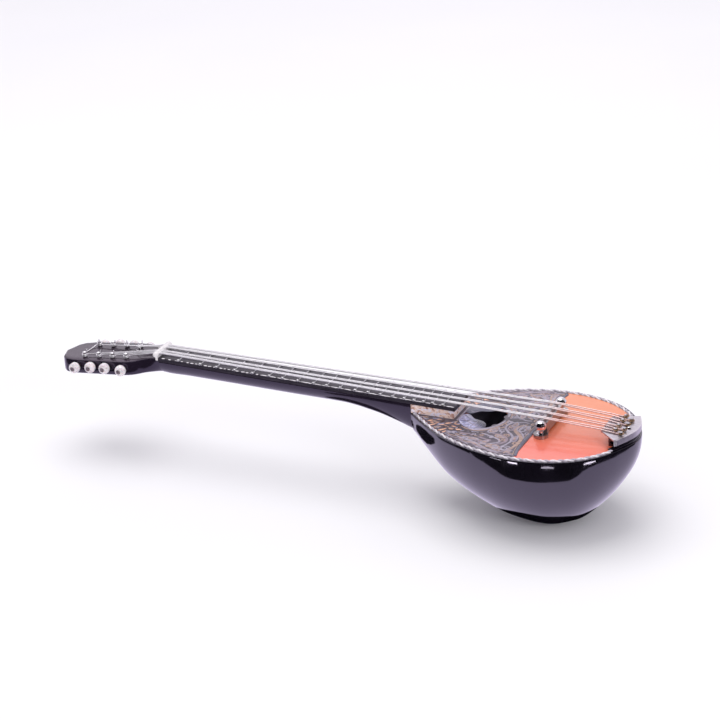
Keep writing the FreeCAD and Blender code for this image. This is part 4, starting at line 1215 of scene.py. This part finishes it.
def make_strings():
    L = math.hypot(HEAD_SLOPE, 1.0)
    ax = Vector((-HEAD_SLOPE / L, 0, 1 / L))
    ex = Vector((1, 0, HEAD_SLOPE)).normalized()
    number = 0
    for sy in (-1, 1):
        for i in (range(4) if sy < 0 else range(3, -1, -1)):
            number += 1
            hx = HOOK_ROWS[(i + (sy < 0)) % 2]
            yb, yn, yh = sy * BRIDGE_Y[i], sy * NUT_Y[i], (HOOK_NEAR if sy < 0 else HOOK_FAR)[i]
            xf = TP_FRONT + 0.1
            yf = yb + (yh - yb) * (xf - BRX) / (hx - BRX)
            px = POST_X[i]
            end = Vector((px, sy * POST_Y, head_top(px))) + ax * 0.75 + Vector((0, -sy * (POST_R + WIRE_R), 0)) + ex * (0.95 if sy < 0 else 1.3)
            key = [Vector((hx - 0.95, yh, tp_top(hx) + 0.34)), Vector((xf, yf, tp_top(xf) + 0.30)),
                   Vector((BRX, yb, SADDLE_TOP + WIRE_R)), Vector(((NUT_X0 + NUT_X1) / 2, yn, NUT_TOP + WIRE_R)), end]
            pts = [key[0]]
            for a, b, c in zip(key, key[1:], key[2:]):
                u, v = (a - b).normalized(), (c - b).normalized()
                for t in (0.5, 0.25, 0.08):
                    pts.append(b + u * t)
                pts += [b, b + v * 0.08, b + v * 0.25, b + v * 0.5]
            pts.append(key[-1])
            B = Build()
            B.tube(pts, 0.235, 12)
            if sy > 0 and i == 3:
                # loose end of the wire, laid over the head to the near side
                loose = [(px - 0.98, 4.62, 0.70), (px - 1.25, 3.6, 0.44), (px - 1.6, 2.0, 0.20), (px - 1.8, -0.5, 0.19), (px - 1.7, -2.6, 0.20), (px - 1.3, -4.2, 0.28)]
                B.tube(catmull([(x, y, head_top(x) + z) for x, y, z in loose], 6), 0.2, 8)
                # spare turn of the same wire, standing on the head between the rows of posts
                curl = [(-112.5, 2.2, 1.86), (-113.6, 1.75, 2.1)]
                curl += [(-116.0 + 1.08 * math.cos(a), 1.45 - 0.10 * a, 1.22 + 1.02 * math.sin(a)) for a in [0.75 + 0.35 * j for j in range(21)]]
                B.tube(catmull([(x, y, head_top(x) + z) for x, y, z in curl], 3), 0.17, 8)
            make("wire_%d" % number, B.v, B.f, MATS["string_steel"],
                 replaces=("string_%d" % number,), angle=60)


# ------------------------------------------------------------ nut and beads
def make_nut():
    B = Build()
    x0 = (NUT_X0 + NUT_X1) / 2
    pts, rad = [], []
    for k in range(49):
        y = -5.15 + 10.5 * k / 48.0
        pts.append((x0 + 0.06 * math.sin(y * 2.3), y, 9.34 + 0.05 * math.sin(y * 1.9 + 1)))
        rad.append(1.02 + 0.10 * math.sin(y * 3.1 + 0.6) + 0.05 * math.sin(y * 8.1) + (0.12 if abs(y) > 4.3 else 0.0))
    B.tube(pts, 0.86, 18, radii=rad)
    # foot of the nut, in the slot between fretboard and head
    rings = []
    for z, hw, ht in ((6.75, 4.9, 0.56), (7.2, 4.95, 0.6), (8.4, 4.95, 0.6), (9.3, 4.95, 0.58)):
        ring = []
        for i in range(40):
            a = 2 * math.pi * i / 40
            ring.append((x0 + ht * math.copysign(abs(math.cos(a)) ** 0.25, math.cos(a)),
                         hw * math.copysign(abs(math.sin(a)) ** 0.12, math.sin(a)), z))
        rings.append(ring)
    B.rings(rings)
    make("nut_rod", B.v, B.f, MATS["nut_white"], replaces=("nut",), angle=45)


def make_beads():
    rnd = random.Random(21)
    for side, sy in (("near", -1), ("far", 1)):
        for k in range(4):
            z = head_top(KNOB_X[k]) - KNOB_DROP[k]
            B = Build()
            R, H, f = 2.1, KNOB_HT, 1.3
            prof = [(-H, 0.52), (-H, R - f)]
            for j in range(1, 9):
                a = math.pi / 2 * j / 8
                prof.append((-H + f - f * math.cos(a), R - f + f * math.sin(a)))
            for j in range(1, 9):
                a = math.pi / 2 * j / 8
                prof.append((H - f + f * math.sin(a), R - f + f * math.cos(a)))
            prof += [(H - 0.02, 0.9), (H - 0.12, 0.62), (H - 0.5, 0.52)]
            B.lathe((KNOB_X[k], sy * KNOB_CY, z), (0, sy, 0), prof, 48)
            make("bead_%s_%d" % (side, k + 1), B.v, B.f, MATS["knob_pearl"], body="tuning_knob_%s_%d" % (side, k + 1),
                 replaces=("knob_%s_%d" % (side, k + 1),), angle=40)


def make_knobs():
    B = Build()
    for y in SCREW_Y:
        for base, prof in (((BRX, y, 0.0), [(0.03, 2.2), (0.06, 2.52), (0.22, 2.6), (0.72, 2.6), (0.98, 2.48), (1.14, 2.2), (1.2, 1.5), (1.24, 0.9),
                                            (2.3, 0.8)]),):
            B.lathe(base, (0, 0, 1), prof, 40)
        # rounded head with eight worn flutes round its waist
        rings = []
        for k in range(21):
            a = -math.pi / 2 + math.pi * k / 20
            h = BALL_Z + BALL_R * math.sin(a)
            r = 2.05 * max(math.cos(a), 0.0) ** 0.72
            ring = []
            for j in range(64):
                p = 2 * math.pi * j / 64
                rr = max(r * (1 - 0.055 * math.cos(a) ** 2 * (0.5 + 0.5 * math.cos(8 * p)) ** 3), 0.004)
                ring.append((BRX + rr * math.cos(p), y + rr * math.sin(p), h))
            rings.append(ring)
        B.rings(rings)
    make("bridge_knobs", B.v, B.f, MATS["chrome"], replaces=("bridge_screws",), angle=50)


make_knobs()
make_bowl()
make_neck()
make_rope()
make_nut()
make_beads()
make_strings()
make_ornament()
make_edging()
make_coils()
make_loops()

# ------------------------------------------------------------------- stage
def make_stage():
    bm = bmesh.new()
    bmesh.ops.create_grid(bm, x_segments=2, y_segments=2, size=4.0)
    me = bpy.data.meshes.new("floor")
    bm.to_mesh(me)
    bm.free()
    floor = bpy.data.objects.new("floor", me)
    scene.collection.objects.link(floor)
    M = Mat("floor_paper")
    n = M.noise(M.coords(), 6.0, 2.0)
    M.link(M.ramp(n, [(0.3, (0.86, 0.86, 0.87)), (0.7, (0.88, 0.88, 0.885))]), M.b.inputs["Base Color"])
    M.set(Roughness=0.9)
    M.b.inputs["Specular IOR Level"].default_value = 0.1
    me.materials.append(M.m)

    # cards round the object, seen only in reflections, as a studio uses on gloss black
    def card(name, verts, faces, color, strength=0.0):
        mm = bpy.data.meshes.new(name)
        mm.from_pydata([tuple(c * MM for c in v) for v in verts], [], faces)
        ob = bpy.data.objects.new(name, mm)
        scene.collection.objects.link(ob)
        C = Mat(name)
        k = C.noise(C.coords(), 3.0, 1.0)
        C.set(Roughness=1.0)
        C.b.inputs["Specular IOR Level"].default_value = 0.0
        if strength > 0:
            C.set(Base_Color=(0, 0, 0, 1), Emission_Strength=strength)
            C.link(C.ramp(k, [(0.2, tuple(c * 0.98 for c in color)), (0.8, color)]), C.b.inputs["Emission Color"])
        else:
            C.link(C.ramp(k, [(0.2, tuple(c * 0.9 for c in color)), (0.8, color)]), C.b.inputs["Base Color"])
        mm.materials.append(C.m)
        ob.visible_camera = False
        ob.visible_diffuse = False
        ob.visible_shadow = False
        ob.visible_transmission = False
        ob.visible_volume_scatter = False
        return ob

    def wall(name, pts, color, strength=0.0):
        vs, fs = [], []
        for x, y, z0, z1 in pts:
            vs += [(x, y, z0), (x, y, z1)]
        for i in range(len(pts) - 1):
            fs.append((2 * i, 2 * i + 2, 2 * i + 3, 2 * i + 1))
        return card(name, vs, fs, color, strength)

    def blob(name, pts, z, color, strength=0.0):
        return card(name, [(x, y, z) for x, y in pts], [tuple(range(len(pts)))], color, strength)
    black = (0.006, 0.005, 0.009)
    edge = [(-112, -4), (-107, -14), (-102, -23), (-95, -36), (-86.5, -47.6), (-75.5, -58.3), (-62, -60), (-42, -59.5),
            (-25, -57), (-8, -58.8), (1.2, -58.5), (14, -56.7), (23.6, -53.6), (33, -49.3), (44.5, -47),
            (54, -47), (64.5, -42.5), (73.6, -31.4), (78, -19.5), (80.8, -10), (83.5, 7.8), (84.8, 23), (86, 40)]
    wall("dark_card", [(x, y, 0.0, 300.0) for x, y in edge[6:]], black)
    # left of the bowl only the foot of the card goes on, low enough for the neck to see over it
    wall("dark_card_low", [(-103, -20, 0, 12), (-102, -23, 0, 13), (-95, -36, 0, 13), (-86.5, -47.6, 0, 12), (-75.5, -58.3, 0, 14)], black)
    wall("dark_card_left", [(-330, -62, 0, 300), (-75.5, -60.5, 0, 300), (-62, -60, 0, 300)], black)
    # the paper as the lacquer sees it: even, faintly violet
    R = 1500.0
    blob("paper_reflection", [(-R, -R), (R, -R), (R, R), (-R, R)], 0.04, (0.90, 0.82, 1.06), 0.95)
    # dark card under the neck, seen only in reflections, giving the dark patch on the left of the bowl
    blob("dark_card_neck", [(-102.7, 14.7), (-107, 11.4), (-105.5, 2.7), (-101.7, -6.3), (-97.9, -9.5), (-89, -8.5),
                           (-81.7, -0.5), (-76.9, 10.7), (-79, 18.2), (-85.2, 19.7)], 0.10, (0.012, 0.010, 0.016))
    # painted shade: a dark card under the bowl, seen only in reflections, stands in for the contact shadow that the
    # lacquer reflects at the bottom of the bowl
    blob("contact_shadow_card_bowl", [(-4.0 + 19.0 * math.cos(2 * math.pi * i / 48), -2.6 + 19.2 * math.sin(2 * math.pi * i / 48))
                           for i in range(48)], 0.08, black)
    # three thin bright slots in the dark card give the streaks along the rim
    wall("strip_light_1", [(-41, -57.4, 18.4, 19.6), (-30, -57.4, 16.0, 17.6), (-21, -57.4, 16.6, 18.4), (-13, -57.4, 17.0, 18.2)],
         (1.0, 0.97, 1.0), 14.0)
    wall("strip_light_2", [(54.4, -46.2, 7.6, 8.4), (58, -44.9, 7.0, 8.4), (64.2, -41.6, 5.2, 6.6), (69.5, -34.2, 5.4, 6.2)],
         (1.0, 0.97, 1.0), 14.0)
    wall("strip_light_3", [(7.5, -57.0, 15.6, 16.6), (13, -56.6, 15.2, 16.6), (18.4, -55.0, 15.0, 15.8)], (1.0, 0.97, 1.0), 5.0)

    def area(name, loc, target, size, power, color=(1, 1, 1), size_y=None):
        L = bpy.data.lights.new(name, "AREA")
        L.shape = "RECTANGLE"
        L.size, L.size_y = size, size_y or size
        L.energy = power
        L.color = color
        ob = bpy.data.objects.new(name, L)
        scene.collection.objects.link(ob)
        ob.location = loc
        d = Vector(target) - Vector(loc)
        ob.rotation_euler = d.to_track_quat("-Z", "Y").to_euler()
        return ob
    area("key", (-0.25, 0.15, 1.1), (-0.03, 0, 0.02), 0.9, 6.0, (1.0, 0.985, 0.99))
    area("fill", (1.05, -0.66, 0.56), (-0.03, 0, 0.03), 0.45, 5.0, (0.98, 0.98, 1.0))
    area("back", (-0.7, 1.3, 0.75), (0, 0, 0.03), 1.2, 1.55, (0.96, 0.90, 1.0), 0.8)
    w = bpy.data.worlds.new("world")
    scene.world = w
    w.use_nodes = True
    bg = w.node_tree.nodes["Background"]
    bg.inputs["Color"].default_value = (0.84, 0.82, 0.87, 1)
    bg.inputs["Strength"].default_value = 0.85


make_stage()
